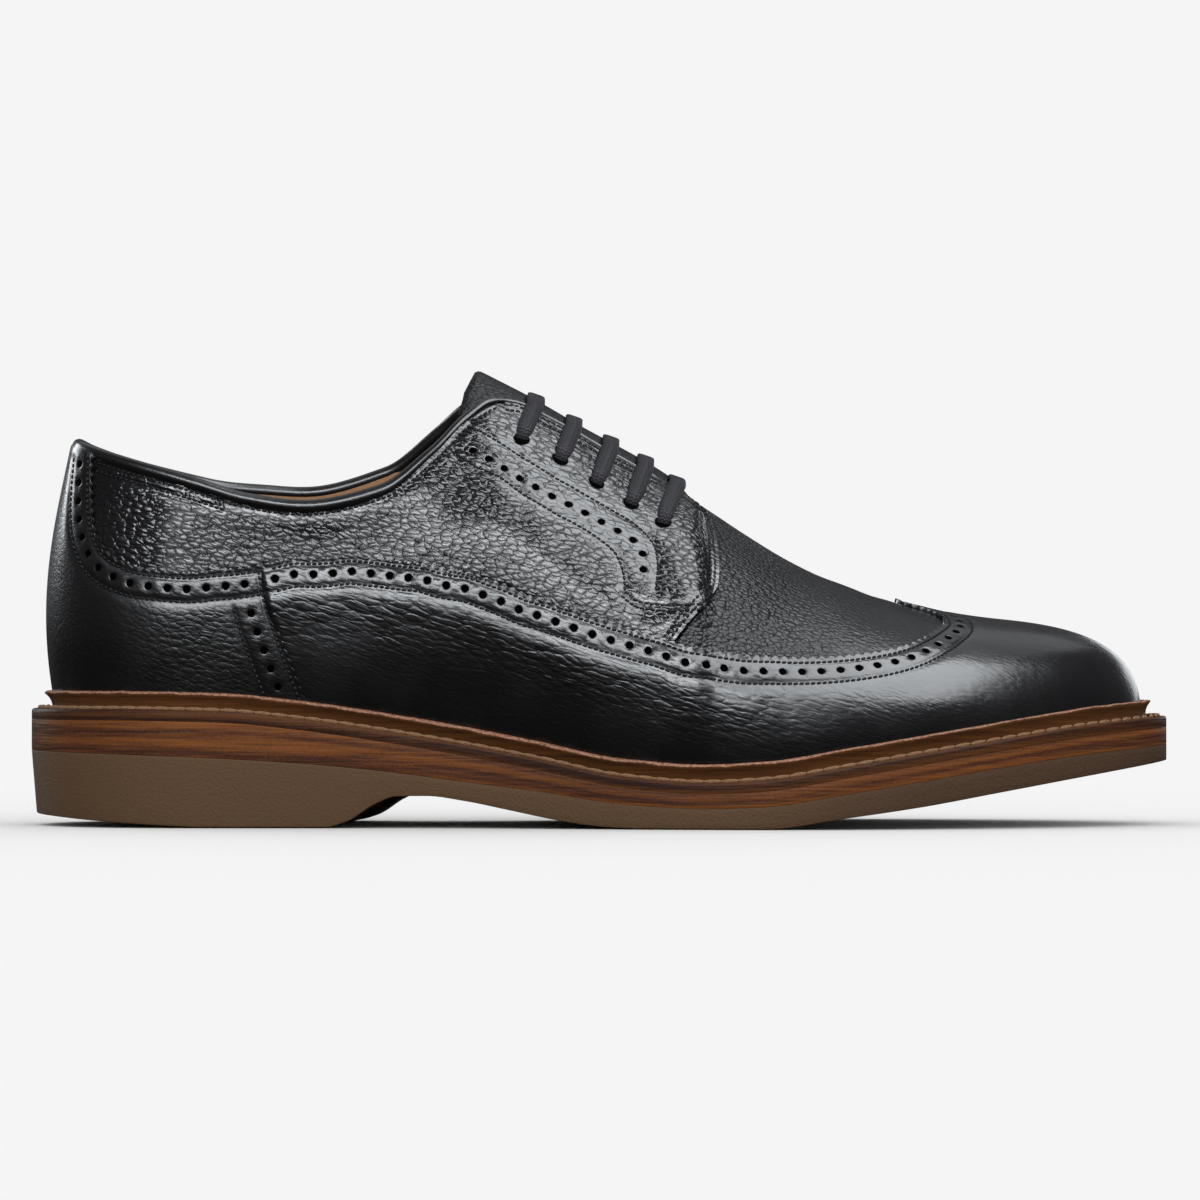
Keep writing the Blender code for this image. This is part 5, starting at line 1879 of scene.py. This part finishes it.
def sole_loop(columns):
    """Stations, plan points and outward normals all round the sole."""
    loop = np.arange(columns) * 8 / columns
    points, normals = np.empty((columns, 2)), np.empty((columns, 2))
    for tacks, mine in ((LATERAL_EDGE, loop <= 4), (MEDIAL_EDGE, loop > 4)):
        points[mine], normals[mine] = sole_edge(tacks, np.where(loop > 4, 8 - loop, loop)[mine])
    return loop, points, normals


def level(name, plan):
    return read(SOLE_LEVELS, name, "x", plan[:, 0])


def floor_height(plan):
    """Height of the tread: heel, slanted breast, arch, flat forefoot and toe spring."""
    across = (1 + plan[:, 1] / SOLE_HALF) / 2
    breast = plan[:, 0] - BREAST_SLANT * across * (plan[:, 0] < BREAST_END)
    return level("floor", plan) + read(ARCH, "rise", "x", breast)


def make_plate(name, low, high, finish, node, rake=0.0):
    """A layer of the sole with a softly rounded edge, between two heights that depend on the plan."""
    _, edge, normal = sole_loop(SOLE_COLUMNS)
    rings, marks = [], []
    for depth, share in PLATE_EDGE:
        plan = edge - normal * depth
        bottom, top = low(plan), high(plan)
        lean = rake * (1 - share) * np.clip(plan[:, 0] / HEEL_TIP, 0, 1) ** HEEL_RAKE_FADE
        tall = top - bottom
        shade = np.clip(share * tall, PLATE_ROUND * share, tall - PLATE_ROUND * (1 - share))
        rings.append(np.column_stack([plan[:, 0] + lean, plan[:, 1], bottom + shade]))
        marks.append(np.full(len(plan), share))
    layers = len(rings)
    points = np.stack(rings, 1).reshape(-1, 3)
    faces = grid_faces(SOLE_COLUMNS, layers, True)
    for i in range(SOLE_COLUMNS // 2):
        a, b = i, i + 1
        c, d = (SOLE_COLUMNS - i - 1) % SOLE_COLUMNS, (SOLE_COLUMNS - i) % SOLE_COLUMNS
        for r in (0, layers - 1):
            corners = list(dict.fromkeys(k * layers + r for k in (a, b, c, d)))
            if len(corners) > 2:
                faces.append(tuple(corners))
    heights = np.stack(marks, 1).ravel()
    make_piece(name, points, faces, finish, [node], marks={"height": heights})


def make_welt():
    """Storm welt: a flat ledge round the sole, a groove, and a rim that flares up against the upper."""
    loop, edge, normal = sole_loop(SOLE_COLUMNS)

    def inset(depth, height):
        plan = edge - normal * depth
        return np.column_stack([plan, level("ledge", plan) + height])

    at, tall = np.meshgrid(loop, RIM_SEARCH_ROWS, indexing="ij")
    heights = skin(at, tall, RIM_LIFT)[..., 2]
    rim_height = inset(WELT_MARGIN, WELT_RIM_RISE)[:, 2]
    rim_row = np.array([np.interp(z, line, RIM_SEARCH_ROWS) for z, line in zip(rim_height, heights)])
    foot = skin(loop, np.zeros_like(loop), RIM_LIFT)
    wave = sum(size * np.sin(loop * turns + shift) for size, turns, shift in RIM_WAVES)

    def rim(share, lift):
        return skin(loop, rim_row * share, lift)

    def groove(depth, height):
        plan = foot[:, :2] + normal * depth
        return np.column_stack([plan, level("ledge", plan) + height])

    profile = [
        (inset(0.12, -WELT_THICK), 0.0),
        (inset(0.03, -WELT_THICK + 0.03), 0.0),
        (inset(0.0, -WELT_THICK + 0.12), 0.0),
        (inset(0.0, -0.9), 0.0),
        (inset(0.12, -0.4), 0.0),
        (inset(0.5, -0.08), 0.0),
        (inset(1.1, 0.0), 0.3),
        (inset(2.0, -0.1), 0.0),
        (inset(3.0, -0.1), 0.0),
        (inset(4.2, 0.0), 0.0),
        (groove(1.3, -0.05), 0.0),
        (groove(0.8, 0.15), 0.0),
        (rim(0.22, RIM_LIFT + 0.62), 0.0),
        (rim(0.42, RIM_LIFT + 0.7), 0.0),
        (rim(0.62, RIM_LIFT + 1.05), 0.0),
        (rim(0.78, RIM_LIFT + WELT_RIM_FLARE * 0.8), 0.0),
        (rim(0.88 + wave * 0.02, RIM_LIFT + WELT_RIM_FLARE + wave * 0.12), 0.35),
        (rim(0.95 + wave * 0.03, RIM_LIFT + WELT_RIM_FLARE + wave * 0.1), 1.0),
        (rim(1.0 + wave * 0.03, RIM_LIFT + WELT_RIM_FLARE * 0.7), 1.0),
        (rim(1.0, RIM_LIFT + 0.1), 0.7),
        (rim(0.5, RIM_LIFT - 0.1), 0.0),
        (groove(0.0, 0.0), 0.0),
        (inset(WELT_FLANGE, 0.0), 0.0),
        (inset(WELT_FLANGE, -WELT_THICK), 0.0),
    ]
    sides = len(profile)
    points = np.stack([ring for ring, _ in profile], 1).reshape(-1, 3)
    pale = np.tile([share for _, share in profile], SOLE_COLUMNS)
    layer = np.clip(1 + (points[:, 2] - level("ledge", points)) / WELT_THICK, 0, 2)
    ledge = np.tile(np.arange(sides) > WELT_LEDGE_START, SOLE_COLUMNS)
    marks = {"pale": pale, "height": layer, "ledge": ledge}
    faces = ring_faces(SOLE_COLUMNS, sides, True)
    make_piece("storm_welt", points, faces, WELT, ["welt"], WELT_SHARP, marks)


def make_welt_stitches():
    """Thick lockstitch that stands up along the ledge of the welt."""
    _, edge, normal = sole_loop(SOLE_COLUMNS * 2)
    plan = edge - normal * WELT_STITCH_INSET
    line = np.column_stack([plan, level("ledge", plan) + WELT_STITCH_SEAT])
    line = np.concatenate([line, line[:1]])
    reach = run_length(line)
    count = int(reach[-1] / WELT_STITCH_PITCH)
    spots = placed(line, reach, np.arange(count) * reach[-1] / count)
    runs = unit(np.roll(spots, -1, 0) - np.roll(spots, 1, 0))
    outs = unit(np.cross(runs, np.cross(np.array([0.0, 0.0, 1.0]), runs)))
    points, faces = lay_stitches(spots, runs, outs, WELT_STITCH_SIZE, WELT_STITCH_SLANT)
    make_piece("welt_stitches", points, faces, WELT_THREAD, sharp=THREAD_SHARP)


make_plate(
    "outsole_rubber",
    floor_height,
    lambda plan: level("outsole", plan),
    RUBBER,
    "outsole",
    HEEL_RAKE,
)
make_plate(
    "midsole_leather",
    lambda plan: level("outsole", plan),
    lambda plan: level("ledge", plan) - WELT_THICK,
    MIDSOLE,
    "midsole",
)
make_welt()
make_welt_stitches()
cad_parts["insole"].material_slots[0].material = LINING


def make_camera():
    """Camera almost level and square to the outer side, as the photograph was taken."""
    data = bpy.data.cameras.new("photo_camera")
    data.lens = CAMERA_LENS
    data.sensor_width = SENSOR
    camera = bpy.data.objects.new("photo_camera", data)
    camera.location = (0.0, -CAMERA_DISTANCE, CAMERA_HEIGHT)
    camera.rotation_euler = (math.radians(90 + CAMERA_TILT), 0.0, 0.0)
    bpy.context.scene.collection.objects.link(camera)
    bpy.context.scene.camera = camera


def make_floor():
    """Plain pale floor, dark to glossy rays so that the leather keeps its dark lower sides."""
    deselect()
    bpy.ops.mesh.primitive_plane_add(size=2 * FLOOR_HALF, location=(0, 0, -FLOOR_DROP))
    floor = bpy.context.object
    floor.name = "studio_floor"
    finish, tree, shader = new_finish("pale_floor", BACKDROP, 1.0, 0.0)
    path = tree.nodes.new("ShaderNodeLightPath").outputs
    colour = blend(tree, path["Is Glossy Ray"], BACKDROP, GLOSSY_FLOOR)
    tree.links.new(colour, shader.inputs["Base Color"])
    floor.data.materials.append(finish)
    floor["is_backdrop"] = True


def make_world():
    """White surroundings for soft light, the backdrop for the camera and a dim room for reflections."""
    world = bpy.data.worlds.new("studio")
    bpy.context.scene.world = world
    world.use_nodes = True
    tree = world.node_tree
    path = tree.nodes.new("ShaderNodeLightPath").outputs
    room = blend(tree, path["Is Glossy Ray"], SKY_LIGHT, GLOSSY_ROOM)
    seen = blend(tree, path["Is Camera Ray"], room, BACKDROP)
    tree.links.new(seen, tree.nodes["Background"].inputs["Color"])


def make_softbox(name, place, aim, size, power, shoe):
    """A softbox that lights the shoe only, so that the floor stays even."""
    light = bpy.data.lights.new(name, "AREA")
    light.shape = "RECTANGLE"
    light.size, light.size_y = size
    light.energy = power
    light.color = COOL
    lamp = bpy.data.objects.new(name, light)
    lamp.location = place
    lamp.rotation_euler = (Vector(aim) - Vector(place)).to_track_quat("-Z", "Y").to_euler()
    bpy.context.scene.collection.objects.link(lamp)
    lamp.light_linking.receiver_collection = shoe
    lamp.visible_camera = False


make_camera()
make_floor()
make_world()
shoe_pieces = bpy.data.collections.new("shoe_pieces")
for shoe_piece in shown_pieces():
    shoe_pieces.objects.link(shoe_piece)
for softbox in SOFTBOXES:
    make_softbox(*softbox, shoe_pieces)
bpy.context.scene.view_settings.view_transform = "Standard"
